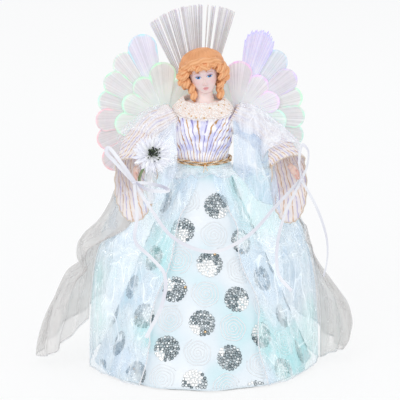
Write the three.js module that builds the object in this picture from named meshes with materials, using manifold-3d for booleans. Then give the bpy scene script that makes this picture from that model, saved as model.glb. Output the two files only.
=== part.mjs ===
// Fibre-optic angel tree topper. Millimetres, +Z up, the figure faces -Y.
// The origin is the middle of the base rim, where the tree's tip enters.
import * as THREE from "three";
import { mergeVertices } from "three/addons/utils/BufferGeometryUtils.js";
import Module from "manifold-3d";

const wasm = await Module();
wasm.setup();

// Support cone
const BASE_RADIUS = 95;
const CONE_HEIGHT = 186;
const CONE_TOP_RADIUS = 20;
const CONE_WALL = 1.4;
const CONE_HOLE_RADIUS = 11;
const RIM_WIDTH = 9;
const RIM_THICKNESS = 2;
const ROUND_STEPS = 48;

// Skirts, tails and shawls
const CLOTH = 0.8;
const SKIRT_EASE = 0.6;
const SKIRT_FOLDS = 12;
const HEM_FOLD_DEPTH = 4;
const HEM_LIFT = 1.5;
const OVERSKIRT_EASE = 0.7;
const OVERSKIRT_FOLDS = 9;
const OVERSKIRT_FOLD_DEPTH = 3;
const OVERSKIRT_OPENING = 38;
const SIDE_FULLNESS = 42;
const TAIL_FRONT_ANGLE = 78;
const TAIL_BACK_ANGLE = 128;
const TAIL_EASE = 1.2;
const SHAWL_EASE = 2.2;
const SHAWL_FLARE = 3;

// Figure
const TORSO_WIDTH = 51;
const TORSO_DEPTH = 38;
const TORSO_HEIGHT = 64;
const NECK_WIDTH = 16.83;
const NECK_DEPTH = 17.1;
const NECK_ROOT_WIDTH = 19.89;
const NECK_ROOT_DEPTH = 19;
const BODICE_EASE = 0.5;
const BODICE_TOP = 0.72;
const COLLAR_THICKNESS = 2.6;
const BRAID_RADIUS = 2.2;
const WIRE_RADIUS = 1.5;
const HAND_LENGTH = 17;
const SKULL_WIDTH = 29;
const HEAD_TILT = -8;

// Light, socket and battery box
const SHELF_DROP = 68;
const SHELF_THICKNESS = 3;
const CUP_RADIUS = 17;
const CUP_WALL = 1.6;
const CUP_HEIGHT = 31;
const BOARD_THICKNESS = 1.6;
const LED_RADIUS = 2.5;
const LED_SPACING = 10;
const TRUNK_RADIUS = 7.8;
const TRUNK_BEND = 13;
const SOCKET_BORE_RADIUS = 13;
const SOCKET_WALL = 1.6;
const SOCKET_LENGTH = 84;
const SOCKET_FLARE = 6;
const CELL_DIAMETER = 14.2;
const CELL_LENGTH = 50.5;
const BOX_WALL = 2;
const BOX_DROP = 28;
const COVER_THICKNESS = 2.2;
const HINGE_RADIUS = 1.7;
const PIN_RADIUS = 1.1;
const KNOB_WIDTH = 4;
const KNOB_TRAVEL = 4;
const LEAD_RADIUS = 1;

// Wings and halo
const PETAL_THICKNESS = 1;
const PETAL_ROOT = 9;
const HUB_SPREAD = 32;
const HUB_RISE = 38;
const HUB_DEPTH = 5;
const OUTER_PETALS = { count: 7, first: 18, last: 129, shortest: 60, extra: 16, halfAngle: 10.4 };
const INNER_PETALS = { count: 4, first: 4, last: 99, shortest: 41, extra: 9, halfAngle: 16.5 };
const HALO_RISE = 33;
const HALO_RADIUS = 108;
const HALO_PITCH = 0.9;
const HALO_CLUMPS = [
  { from: -27, to: -22.1 },
  { from: -21.1, to: -17.3 },
  { from: -16.6, to: -10.7 },
  { from: -9.8, to: 1 },
  { from: 3.2, to: 3.9 },
  { from: 5.1, to: 7.4 },
  { from: 9, to: 17.5 },
];

// Fits
const CLEARANCE = 0.3;
const RUNNING_CLEARANCE = 0.4;
const LAYER_GAP = 0.4;

const topper = new THREE.Group();
topper.name = "angel_tree_topper";

const paint = (color, roughness, metalness = 0) =>
  new THREE.MeshStandardMaterial({ color, roughness, metalness });
const FINISH = {
  whitePlastic: paint(0xe9ecee, 0.5),
  greyPlastic: paint(0xb9bcc0, 0.5),
  board: paint(0x2f6b46, 0.6),
  lamp: paint(0xdff6ff, 0.2),
  fibre: paint(0xe3e1e3, 0.3),
  cell: paint(0x9a9c9e, 0.35, 0.8),
  wire: paint(0x8d8f92, 0.4, 0.9),
  resin: paint(0xf2dcdc, 0.5),
  stripe: paint(0xd9d2e6, 0.6),
  lace: paint(0xf5ebdd, 0.8),
  gold: paint(0xc08a3a, 0.4, 0.6),
  satin: paint(0xeef6fa, 0.4),
  organza: paint(0xdcdcde, 0.6),
  feather: paint(0xf6f6f4, 0.9),
  stem: paint(0x2c3a2e, 0.7),
};

function addPiece(name, geometry, material) {
  const mesh = new THREE.Mesh(geometry, material);
  mesh.name = name;
  topper.add(mesh);
}

const radians = THREE.MathUtils.degToRad;
const { lerp, smoothstep } = THREE.MathUtils;
const vec = (x, y, z) => new THREE.Vector3(x, y, z);
const around = (angle, radius, z) => vec(radius * Math.sin(angle), -radius * Math.cos(angle), z);

// Smooth value at t through stops of [t, value]
function along(stops, t) {
  for (let i = 1; i < stops.length; i += 1) {
    const [t0, v0] = stops[i - 1];
    const [t1, v1] = stops[i];
    if (t <= t1) return lerp(v0, v1, smoothstep(t, t0, t1));
  }
  return stops[stops.length - 1][1];
}

// Geometry of a closed skin, turned so that its faces look out
function closedSkin(points, triangles) {
  let volume = 0;
  for (const [a, b, c] of triangles) {
    volume += points[a].dot(points[b].clone().cross(points[c]));
  }
  const facing = volume < 0 ? triangles.map(([a, b, c]) => [a, c, b]) : triangles;
  const geometry = new THREE.BufferGeometry();
  geometry.setAttribute("position", new THREE.Float32BufferAttribute(points.flatMap((p) => p.toArray()), 3));
  geometry.setIndex(facing.flat());
  return geometry;
}

// Thin cloth: two skins a thickness apart round place(u, v), joined at its edges
function clothSheet(place, columns, rows, thickness, closed = false) {
  const step = 1e-3;
  const stops = closed ? columns : columns + 1;
  const points = [];
  for (const half of [thickness / 2, -thickness / 2]) {
    for (let j = 0; j <= rows; j += 1) {
      for (let i = 0; i < stops; i += 1) {
        const [u, v] = [i / columns, j / rows];
        const across = place(u + step, v).sub(place(u - step, v));
        const down = place(u, Math.min(1, v + step)).sub(place(u, Math.max(0, v - step)));
        points.push(place(u, v).addScaledVector(across.cross(down).normalize(), half));
      }
    }
  }
  const back = stops * (rows + 1);
  const at = (i, j) => (i % stops) + j * stops;
  const triangles = [];
  const quad = (a, b, c, d) => triangles.push([a, b, c], [a, c, d]);
  for (let j = 0; j < rows; j += 1) {
    for (let i = 0; i < columns; i += 1) {
      const corners = [at(i, j), at(i + 1, j), at(i + 1, j + 1), at(i, j + 1)];
      quad(...corners);
      quad(...corners.map((corner) => corner + back).reverse());
    }
  }
  for (let i = 0; i < columns; i += 1) {
    quad(at(i + 1, 0), at(i, 0), at(i, 0) + back, at(i + 1, 0) + back);
    quad(at(i, rows), at(i + 1, rows), at(i + 1, rows) + back, at(i, rows) + back);
  }
  for (let j = 0; j < rows && !closed; j += 1) {
    quad(at(0, j), at(0, j + 1), at(0, j + 1) + back, at(0, j) + back);
    quad(at(columns, j + 1), at(columns, j), at(columns, j) + back, at(columns, j + 1) + back);
  }
  return closedSkin(points, triangles);
}

// Solid through rings of points, each end closed by a fan
function loftBody(rings) {
  const count = rings[0].length;
  const points = rings.flat();
  const triangles = [];
  for (let j = 0; j + 1 < rings.length; j += 1) {
    for (let i = 0; i < count; i += 1) {
      const a = j * count + i;
      const b = j * count + ((i + 1) % count);
      triangles.push([a, b, b + count], [a, b + count, a + count]);
    }
  }
  const capEnd = (first, outward) => {
    const middle = vec(0, 0, 0);
    for (let i = 0; i < count; i += 1) middle.addScaledVector(points[first + i], 1 / count);
    points.push(middle);
    for (let i = 0; i < count; i += 1) {
      const [a, b] = [first + i, first + ((i + 1) % count)];
      triangles.push(outward ? [a, b, points.length - 1] : [b, a, points.length - 1]);
    }
  };
  capEnd(0, false);
  capEnd((rings.length - 1) * count, true);
  return closedSkin(points, triangles);
}

// Ring of rope: a tube along a closed line in the plane of its z
function ropeRing(halfWidth, halfDepth, z, radius, steps, sides, ripple) {
  const points = [];
  const triangles = [];
  for (let i = 0; i < steps; i += 1) {
    const angle = (i / steps) * 2 * Math.PI;
    for (let j = 0; j < sides; j += 1) {
      const turn = (j / sides) * 2 * Math.PI;
      const swell = radius * (1 - ripple * (0.5 + 0.5 * Math.cos(turn + (angle * steps) / 4)));
      const out = swell * Math.cos(turn);
      points.push(
        vec((halfWidth + out) * Math.sin(angle), -(halfDepth + out) * Math.cos(angle), z + swell * Math.sin(turn)),
      );
      const [a, b] = [i * sides + j, i * sides + ((j + 1) % sides)];
      const [c, d] = [((i + 1) % steps) * sides + j, ((i + 1) % steps) * sides + ((j + 1) % sides)];
      triangles.push([a, c, d], [a, d, b]);
    }
  }
  return closedSkin(points, triangles);
}

const lathe = (profile, steps = ROUND_STEPS) => {
  const geometry = new THREE.LatheGeometry(profile.map(([r, z]) => new THREE.Vector2(r, z)), steps);
  const turned = mergeVertices(positionsOnly(geometry.rotateX(Math.PI / 2)), 1e-3);
  const points = [];
  const spots = turned.getAttribute("position");
  for (let i = 0; i < spots.count; i += 1) points.push(new THREE.Vector3().fromBufferAttribute(spots, i));
  const corners = Array.from(turned.getIndex().array);
  const triangles = [];
  for (let i = 0; i < corners.length; i += 3) {
    const [a, b, c] = corners.slice(i, i + 3);
    if (a !== b && b !== c && c !== a) triangles.push([a, b, c]);
  }
  return closedSkin(points, triangles);
};

function positionsOnly(geometry) {
  const bare = new THREE.BufferGeometry();
  bare.setAttribute("position", geometry.getAttribute("position").clone());
  if (geometry.getIndex()) bare.setIndex(geometry.getIndex().clone());
  return bare;
}

function tubeAlong(points, radius, sides, steps) {
  const shape = new THREE.Shape();
  shape.absarc(0, 0, radius, 0, 2 * Math.PI);
  return new THREE.ExtrudeGeometry(shape, {
    steps,
    curveSegments: sides / 2,
    bevelEnabled: false,
    extrudePath: new THREE.CatmullRomCurve3(points),
  });
}

function slab(from, to) {
  const size = to.clone().sub(from);
  const geometry = new THREE.BoxGeometry(size.x, size.y, size.z);
  const middle = from.clone().add(to).multiplyScalar(0.5);
  return geometry.translate(middle.x, middle.y, middle.z);
}

const ball = (middle, radii, steps = 12) =>
  new THREE.SphereGeometry(1, steps, Math.round(steps * 0.7))
    .rotateX(Math.PI / 2)
    .scale(radii.x, radii.y, radii.z)
    .translate(middle.x, middle.y, middle.z);

const rodX = (radius, fromX, toX, y, z, sides = 16) =>
  new THREE.CylinderGeometry(radius, radius, toX - fromX, sides)
    .rotateZ(Math.PI / 2)
    .translate((fromX + toX) / 2, y, z);

const post = (radius, x, y, fromZ, toZ, sides = 16) =>
  new THREE.CylinderGeometry(radius, radius, toZ - fromZ, sides)
    .rotateX(Math.PI / 2)
    .translate(x, y, (fromZ + toZ) / 2);

function solidOf(geometry) {
  const merged = mergeVertices(positionsOnly(geometry), 1e-4);
  return new wasm.Manifold(
    new wasm.Mesh({
      numProp: 3,
      vertProperties: new Float32Array(merged.getAttribute("position").array),
      triVerts: new Uint32Array(merged.getIndex().array),
    }),
  );
}

function geometryOf(solid) {
  const mesh = solid.getMesh();
  const geometry = new THREE.BufferGeometry();
  geometry.setAttribute("position", new THREE.BufferAttribute(new Float32Array(mesh.vertProperties), 3));
  geometry.setIndex(new THREE.BufferAttribute(new Uint32Array(mesh.triVerts), 1));
  return geometry;
}

const join = (first, ...others) =>
  geometryOf(others.reduce((whole, other) => whole.add(solidOf(other)), solidOf(first)));
const cut = (first, ...tools) =>
  geometryOf(tools.reduce((whole, tool) => whole.subtract(solidOf(tool)), solidOf(first)));

// Support cone and the skirts that hang on it
const coneRadius = (z) => lerp(BASE_RADIUS, CONE_TOP_RADIUS, z / CONE_HEIGHT);
const coneInside = (z) => coneRadius(z) - CONE_WALL;
const coneRoof = CONE_HEIGHT - RIM_THICKNESS;

addPiece(
  "skirt_cone",
  lathe([
    [BASE_RADIUS, 0],
    [CONE_TOP_RADIUS, CONE_HEIGHT],
    [CONE_HOLE_RADIUS, CONE_HEIGHT],
    [CONE_HOLE_RADIUS, coneRoof],
    [coneInside(coneRoof), coneRoof],
    [coneInside(RIM_THICKNESS), RIM_THICKNESS],
    [BASE_RADIUS - RIM_WIDTH, RIM_THICKNESS],
    [BASE_RADIUS - RIM_WIDTH, 0],
    [BASE_RADIUS, 0],
  ]),
  FINISH.whitePlastic,
);

const skirtTop = CONE_HEIGHT - 2 * CLOTH;
const foldFade = (z) => (1 - z / CONE_HEIGHT) ** 1.5;

function underskirtPoint(u, v) {
  const angle = u * 2 * Math.PI;
  const z = lerp(HEM_LIFT, skirtTop, v);
  const fold = HEM_FOLD_DEPTH * foldFade(z) * (0.5 + 0.5 * Math.cos(SKIRT_FOLDS * angle));
  return around(angle, coneRadius(z) + SKIRT_EASE + CLOTH / 2 + fold, z);
}
addPiece("underskirt", clothSheet(underskirtPoint, ROUND_STEPS, 4, CLOTH, true), FINISH.satin);

function overskirtRadius(angle, z) {
  const rise = z / CONE_HEIGHT;
  const turn = Math.abs(angle);
  const sides = smoothstep(turn, radians(65), radians(95)) * (1 - smoothstep(turn, radians(120), radians(165)));
  const fullness = Math.sin(Math.min(1, rise / 0.8) * (Math.PI / 2)) * (1 - smoothstep(rise, 0.84, 1));
  const fold = OVERSKIRT_FOLD_DEPTH * (0.3 + 0.7 * foldFade(z)) * (0.5 + 0.5 * Math.cos(OVERSKIRT_FOLDS * angle));
  const clear = SKIRT_EASE + 2 * CLOTH + OVERSKIRT_EASE + HEM_FOLD_DEPTH * foldFade(z);
  return coneRadius(z) + clear + SIDE_FULLNESS * sides * fullness + fold;
}

// The overskirt runs round the back, from one front edge to the other
function overskirtPoint(u, v) {
  const opening = radians(OVERSKIRT_OPENING);
  const turn = lerp(opening, 2 * Math.PI - opening, u);
  const angle = turn > Math.PI ? turn - 2 * Math.PI : turn;
  const z = lerp(2 * HEM_LIFT, skirtTop, v);
  return around(angle, overskirtRadius(angle, z), z);
}
addPiece("overskirt", clothSheet(overskirtPoint, 36, 7, CLOTH), FINISH.organza);

// Tails hang on the overskirt's sides and flare away from it
function tailPoint(side, tail, u, v) {
  const angle = side * radians(lerp(TAIL_FRONT_ANGLE, TAIL_BACK_ANGLE, u));
  const offTip = (u - tail.tipAcross) / Math.max(tail.tipAcross, 1 - tail.tipAcross);
  const z = lerp(tail.top, lerp(tail.tipHeight, tail.cornerHeight, offTip * offTip), v);
  const flare = tail.flare * Math.sin(Math.PI * tail.curl * v ** 1.5) * (1 - offTip * offTip);
  const fold = 2 * v * (0.5 + 0.5 * Math.cos(4 * Math.PI * u));
  return around(angle, overskirtRadius(angle, z) + CLOTH + TAIL_EASE + flare + fold, z);
}
const TAILS = {
  left: { side: -1, top: CONE_HEIGHT * 0.8, tipHeight: 7, cornerHeight: 48, tipAcross: 0.35, flare: 42, curl: 0.5 },
  right: { side: 1, top: CONE_HEIGHT * 0.56, tipHeight: 7, cornerHeight: 34, tipAcross: 0.35, flare: 30, curl: 0.75 },
};
for (const [name, tail] of Object.entries(TAILS)) {
  const place = (u, v) => tailPoint(tail.side, tail, u, v);
  addPiece(`tail_${name}`, clothSheet(place, 7, 7, CLOTH), FINISH.organza);
}

// Lamp housing on its shelf inside the cone
const shelfZ = CONE_HEIGHT - SHELF_DROP;
const cupFloor = shelfZ + SHELF_THICKNESS;
const cupTop = cupFloor + CUP_HEIGHT;
const cupBore = CUP_RADIUS - CUP_WALL;
const boardZ = cupFloor + 3;
const ledZ = boardZ + BOARD_THICKNESS + CLEARANCE;
const trunkStart = ledZ + 3 * LED_RADIUS + 1;

// Battery box at the back of the cone, its cells upright
const boxTop = shelfZ - BOX_DROP;
const cellGap = RUNNING_CLEARANCE;
const boxHalfWidth = CELL_DIAMETER + 1.5 * cellGap + BOX_WALL;
const boxDepth = CELL_DIAMETER + 2 * cellGap + 2 * BOX_WALL;
const boxHeight = CELL_LENGTH + BOX_WALL + 6;
const boxBottom = boxTop - boxHeight;
const boxBack = Math.sqrt(coneInside(boxTop) ** 2 - boxHalfWidth ** 2) - 2;
const boxFront = boxBack - boxDepth;

const leadPath = [
  vec(8, boxBack - boxDepth / 2, boxTop + CLEARANCE),
  vec(8, boxBack - boxDepth / 2, boxTop + 9),
  vec(5, 32, shelfZ - 10),
  vec(0, 25, shelfZ - 2),
  vec(0, 23.5, cupFloor + 0.2),
  vec(0, 20, cupFloor + 1.6),
  vec(0, 12, cupFloor + 1.6),
];
const lead = (radius) => tubeAlong(leadPath, radius, 6, 14);
addPiece("supply_lead", lead(LEAD_RADIUS), FINISH.wire);

addPiece(
  "lamp_housing",
  cut(
    lathe([
      [0, shelfZ],
      [coneInside(shelfZ) - RUNNING_CLEARANCE, shelfZ],
      [coneInside(cupFloor) - RUNNING_CLEARANCE, cupFloor],
      [CUP_RADIUS, cupFloor],
      [CUP_RADIUS, cupTop],
      [cupBore, cupTop],
      [cupBore, cupFloor],
      [0, cupFloor],
    ], 32),
    lead(LEAD_RADIUS + RUNNING_CLEARANCE),
  ),
  FINISH.whitePlastic,
);

addPiece(
  "led_board",
  post(cupBore - RUNNING_CLEARANCE, 0, 0, boardZ, boardZ + BOARD_THICKNESS, 24),
  FINISH.board,
);

const ledProfile = [
  [0, ledZ],
  [LED_RADIUS, ledZ],
  [LED_RADIUS, ledZ + 1.6 * LED_RADIUS],
  [LED_RADIUS * 0.8, ledZ + 2.2 * LED_RADIUS],
  [LED_RADIUS * 0.4, ledZ + 2.6 * LED_RADIUS],
  [0, ledZ + 2.7 * LED_RADIUS],
];
for (const [name, side] of [["led_left", -1], ["led_right", 1]]) {
  addPiece(name, lathe(ledProfile, 8).translate((side * LED_SPACING) / 2, 0, 0), FINISH.lamp);
}

const ferruleBore = TRUNK_RADIUS + RUNNING_CLEARANCE;
const ferruleFit = cupBore - RUNNING_CLEARANCE;
const ferruleZ = cupTop - 12;
const ferruleLip = cupTop + CLEARANCE;
addPiece(
  "fibre_ferrule",
  lathe(
    [
      [ferruleBore, ferruleZ],
      [ferruleFit, ferruleZ],
      [ferruleFit, ferruleLip],
      [CUP_RADIUS, ferruleLip],
      [CUP_RADIUS, ferruleLip + 2],
      [ferruleBore, ferruleLip + 2],
      [ferruleBore, ferruleZ],
    ],
    24,
  ),
  FINISH.greyPlastic,
);

const socketTop = shelfZ - CLEARANCE;
const socketMouth = socketTop - SOCKET_LENGTH;
const socketOutside = SOCKET_BORE_RADIUS + SOCKET_WALL;
addPiece(
  "tree_socket",
  lathe(
    [
      [SOCKET_BORE_RADIUS + SOCKET_FLARE, socketMouth],
      [socketOutside + SOCKET_FLARE, socketMouth],
      [socketOutside, socketMouth + 2 * SOCKET_FLARE],
      [socketOutside, socketTop],
      [SOCKET_BORE_RADIUS, socketTop],
      [SOCKET_BORE_RADIUS, socketMouth + 2 * SOCKET_FLARE],
      [SOCKET_BORE_RADIUS + SOCKET_FLARE, socketMouth],
    ],
    24,
  ),
  FINISH.whitePlastic,
);

// Battery box, glued to the cone by a rib; a boss in front carries the switch
const hingeY = boxBack + HINGE_RADIUS + 0.6;
const hingeZ = boxBottom - 0.9;
const earWidth = 3;
const earOutside = boxHalfWidth - 2;
const earInside = earOutside - earWidth;
const ribHalfWidth = 5;
const ribGap = 0.8;
const switchZ = boxBottom + 14;
const bossDepth = 3;
const slotHalfLength = (KNOB_WIDTH + KNOB_TRAVEL) / 2 + RUNNING_CLEARANCE;
const slotHalfHeight = 2;

const ribOutline = new THREE.Shape();
const ribLow = boxBottom + 22;
ribOutline.moveTo(boxBack - 1, ribLow);
ribOutline.lineTo(coneInside(ribLow) - ribGap, ribLow);
ribOutline.lineTo(coneInside(boxTop) - ribGap, boxTop);
ribOutline.lineTo(boxBack - 1, boxTop);
const rib = new THREE.ExtrudeGeometry(ribOutline, { depth: 2 * ribHalfWidth, bevelEnabled: false })
  .rotateX(Math.PI / 2)
  .rotateZ(Math.PI / 2)
  .translate(-ribHalfWidth, 0, 0);

const ear = (fromX, toX) =>
  cut(
    slab(vec(fromX, boxBack - 1, boxBottom + 0.5), vec(toX, hingeY + HINGE_RADIUS + 0.8, boxBottom + 6)),
    slab(vec(fromX - 1, boxBack - 2, boxBottom - 5), vec(toX + 1, boxBack, boxBottom + 0.4)),
  );
const earPlate = (fromX, toX) =>
  join(
    ear(fromX, toX),
    slab(
      vec(fromX, hingeY - HINGE_RADIUS - 0.1, hingeZ - HINGE_RADIUS - 0.8),
      vec(toX, hingeY + HINGE_RADIUS + 0.8, boxBottom + 1),
    ),
  );

const boxBody = join(
  slab(vec(-boxHalfWidth, boxFront, boxBottom), vec(boxHalfWidth, boxBack, boxTop)),
  rib,
  slab(vec(-9, boxFront - bossDepth, switchZ - 4.5), vec(9, boxFront + 1, switchZ + 4.5)),
  earPlate(-earOutside, -earInside),
  earPlate(earInside, earOutside),
);
const boxCavity = slab(
  vec(-boxHalfWidth + BOX_WALL, boxFront + BOX_WALL, boxBottom - 1),
  vec(boxHalfWidth - BOX_WALL, boxBack - BOX_WALL, boxTop - BOX_WALL),
);
const switchSlot = slab(
  vec(-slotHalfLength, boxFront - bossDepth - 1, switchZ - slotHalfHeight),
  vec(slotHalfLength, boxFront, switchZ + slotHalfHeight),
);
const pinHole = rodX(PIN_RADIUS + RUNNING_CLEARANCE, -boxHalfWidth, boxHalfWidth, hingeY, hingeZ);
addPiece("battery_box", cut(boxBody, boxCavity, switchSlot, pinHole), FINISH.greyPlastic);

const cellX = (CELL_DIAMETER + cellGap) / 2;
const cellZ = boxBottom + 3;
const cellY = (boxFront + boxBack) / 2;
for (const [name, side] of [["cell_left", -1], ["cell_right", 1]]) {
  const can = post(CELL_DIAMETER / 2, side * cellX, cellY, cellZ, cellZ + CELL_LENGTH - 1);
  const cap = post(2.7, side * cellX, cellY, cellZ + CELL_LENGTH - 2, cellZ + CELL_LENGTH, 12);
  addPiece(name, join(can, cap), FINISH.cell);
}

// Cover under the box: its barrel turns between the box's ears on two pins
const coverTop = boxBottom - CLEARANCE;
const coverBottom = coverTop - COVER_THICKNESS;
const barrelHalf = earInside - RUNNING_CLEARANCE;
addPiece(
  "battery_cover",
  join(
    slab(vec(-boxHalfWidth, boxFront, coverBottom), vec(boxHalfWidth, boxBack - 1, coverTop)),
    slab(vec(-barrelHalf, boxBack - 2, coverBottom), vec(barrelHalf, hingeY, hingeZ + 0.4)),
    slab(vec(-4, boxFront - 1.5, coverBottom), vec(4, boxFront + 1, coverTop - 0.5)),
    rodX(HINGE_RADIUS, -barrelHalf, barrelHalf, hingeY, hingeZ),
    rodX(PIN_RADIUS, -earOutside, earOutside, hingeY, hingeZ, 12),
  ),
  FINISH.greyPlastic,
);

const knobX = -KNOB_TRAVEL / 2;
const knobHalfHeight = slotHalfHeight - RUNNING_CLEARANCE;
addPiece(
  "switch_knob",
  slab(
    vec(knobX - KNOB_WIDTH / 2, boxFront - bossDepth - 1.6, switchZ - knobHalfHeight),
    vec(knobX + KNOB_WIDTH / 2, boxFront - CLEARANCE, switchZ + knobHalfHeight),
  ),
  FINISH.stem,
);

// Torso form on the cone's roof, with the fibre trunk through its back
const waistZ = CONE_HEIGHT + CLEARANCE;
const TORSO_WIDTHS = [
  ...[[0, 0.82], [0.16, 0.86], [0.34, 0.94], [0.53, 1], [0.69, 1], [0.8, 0.94], [0.87, 0.7]],
  [0.92, NECK_ROOT_WIDTH / TORSO_WIDTH],
  [1, NECK_WIDTH / TORSO_WIDTH],
];
const TORSO_DEPTHS = [
  ...[[0, 0.76], [0.16, 0.82], [0.34, 0.92], [0.53, 1], [0.69, 0.92], [0.8, 0.79], [0.87, 0.66]],
  [0.92, NECK_ROOT_DEPTH / TORSO_DEPTH],
  [1, NECK_DEPTH / TORSO_DEPTH],
];

function torsoPoint(angle, rise, offset) {
  const halfWidth = (TORSO_WIDTH / 2) * along(TORSO_WIDTHS, rise) + offset;
  const halfDepth = (TORSO_DEPTH / 2) * along(TORSO_DEPTHS, rise) + offset;
  return vec(halfWidth * Math.sin(angle), -halfDepth * Math.cos(angle), waistZ + TORSO_HEIGHT * rise);
}
function torsoLoft(rises, offset, count = 20) {
  const ring = (rise) => Array.from({ length: count }, (_, i) => torsoPoint((i / count) * 2 * Math.PI, rise, offset));
  return loftBody(rises.map(ring));
}

const bodiceSkin = BODICE_EASE + CLOTH + CLEARANCE;
const wingFront = TORSO_DEPTH / 2 + bodiceSkin;
const layerStep = PETAL_THICKNESS + LAYER_GAP;
const outerLayer = wingFront + 2 * layerStep;
const hubFront = outerLayer + layerStep + PETAL_THICKNESS + CLEARANCE;
const trunkEnd = waistZ + 26;

const trunkPath = [vec(0, 0, trunkStart), vec(0, 0, waistZ - 20), vec(0, 0, trunkEnd - TRUNK_BEND)];
for (const degrees of [30, 60, 90]) {
  const turn = radians(degrees);
  trunkPath.push(
    vec(0, TRUNK_BEND * (1 - Math.cos(turn)), trunkEnd - TRUNK_BEND * (1 - Math.sin(turn))),
  );
}
trunkPath.push(vec(0, hubFront - CLEARANCE, trunkEnd));
const trunk = (radius) => tubeAlong(trunkPath, radius, 12, 14);
addPiece("fibre_trunk", trunk(TRUNK_RADIUS), FINISH.fibre);

// Arms: one wire through both shoulders, its ends in the wrists
const shoulderZ = waistZ + TORSO_HEIGHT * 0.72;
const shoulderX = TORSO_WIDTH / 2;
const ARMS = {
  left: {
    shoulder: vec(1.5 - shoulderX, 0, shoulderZ),
    elbow: vec(-shoulderX - 31, -7, shoulderZ - 20),
    wrist: vec(-shoulderX - 37, -36, shoulderZ - 41),
  },
  right: {
    shoulder: vec(shoulderX - 1.5, 0, shoulderZ),
    elbow: vec(shoulderX + 32, -4, shoulderZ - 21),
    wrist: vec(shoulderX + 50, -30, shoulderZ - 43),
  },
};
for (const arm of Object.values(ARMS)) {
  arm.curve = new THREE.CatmullRomCurve3([arm.shoulder, arm.elbow, arm.wrist]);
  arm.reach = arm.curve.getTangent(1).normalize();
}
const armPoints = (arm) => [0.999, 0.75, 0.5, 0.25, 0].map((t) => arm.curve.getPoint(t));
const wirePath = [...armPoints(ARMS.left), vec(0, 0, shoulderZ + 1), ...armPoints(ARMS.right).reverse()];
const wire = (radius) => tubeAlong(wirePath, radius, 6, 30);
addPiece("arm_wire", wire(WIRE_RADIUS), FINISH.wire);

const torsoRises = [0, 0.16, 0.34, 0.53, 0.69, 0.8, 0.87, 0.92, 1];
addPiece(
  "torso_form",
  cut(torsoLoft(torsoRises, 0), trunk(TRUNK_RADIUS + RUNNING_CLEARANCE), wire(WIRE_RADIUS + RUNNING_CLEARANCE)),
  FINISH.whitePlastic,
);

const bodicePoint = (u, v) => torsoPoint(u * 2 * Math.PI, lerp(0.03, BODICE_TOP, v), BODICE_EASE + CLOTH / 2);
addPiece(
  "bodice",
  cut(
    clothSheet(bodicePoint, 20, 4, CLOTH, true),
    trunk(TRUNK_RADIUS + RUNNING_CLEARANCE),
    wire(WIRE_RADIUS + RUNNING_CLEARANCE),
  ),
  FINISH.stripe,
);

const braidZ = waistZ + BRAID_RADIUS + 2;
const braidSpan = bodiceSkin + BRAID_RADIUS;
const waistRing = torsoPoint(Math.PI / 2, 0.1, braidSpan);
const waistFront = torsoPoint(0, 0.1, braidSpan);
addPiece(
  "waist_braid",
  ropeRing(waistRing.x, -waistFront.y, braidZ, BRAID_RADIUS, 32, 6, 0.2),
  FINISH.gold,
);

// Collar: a sloping band round the neckline, lower in front
const COLLAR_STOPS = { inner: { rise: 0.91, width: 0.7, depth: 0.68 }, outer: { rise: 0.765, width: 1.045, depth: 0.98 } };
function collarPoint(u, v) {
  const angle = u * 2 * Math.PI;
  const { inner, outer } = COLLAR_STOPS;
  const halfWidth = (TORSO_WIDTH / 2) * lerp(outer.width, inner.width, v);
  const halfDepth = (TORSO_DEPTH / 2) * lerp(outer.depth, inner.depth, v);
  const slope = -0.06 * halfDepth * Math.cos(angle);
  const z = waistZ + TORSO_HEIGHT * lerp(outer.rise, inner.rise, v) + slope + COLLAR_THICKNESS / 2 + 2 * CLEARANCE;
  return vec(halfWidth * Math.sin(angle), -halfDepth * Math.cos(angle), z);
}
const collar = (thickness) => clothSheet(collarPoint, 20, 2, thickness, true);
addPiece("collar", collar(COLLAR_THICKNESS), FINISH.lace);

// Sleeves: full at the shoulder, then a trumpet whose point hangs below the wrist
const SLEEVE = {
  across: [[0, 10], [0.24, 14.5], [0.5, 12], [0.8, 14.5], [1, 18]],
  above: [[0, 9], [0.24, 12.5], [0.5, 10.5], [0.8, 9], [1, 9]],
  below: [[0, 10], [0.24, 14], [0.5, 16], [0.8, 32], [1, 52]],
};
function sleevePoint(arm, t, turn, offset) {
  const middle = arm.curve.getPoint(t);
  const forward = arm.curve.getTangent(t).normalize();
  const across = vec(0, 0, 1).cross(forward).normalize();
  const above = forward.clone().cross(across);
  const below = above.clone().negate().lerp(vec(0, 0.1, -1), smoothstep(t, 0.4, 0.9) * 0.8).normalize();
  const height = Math.sin(turn);
  const lift = along(height > 0 ? SLEEVE.above : SLEEVE.below, t) + offset;
  return middle
    .addScaledVector(across, (along(SLEEVE.across, t) + offset) * Math.cos(turn))
    .addScaledVector(height > 0 ? above : below, lift * Math.abs(height));
}
const bodyClear = torsoLoft([-0.05, 0.16, 0.34, 0.53, 0.69, 0.8, 0.86], bodiceSkin + CLEARANCE);
const collarClear = collar(COLLAR_THICKNESS + 4 * CLEARANCE);
const wireClear = wire(WIRE_RADIUS + RUNNING_CLEARANCE);

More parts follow.
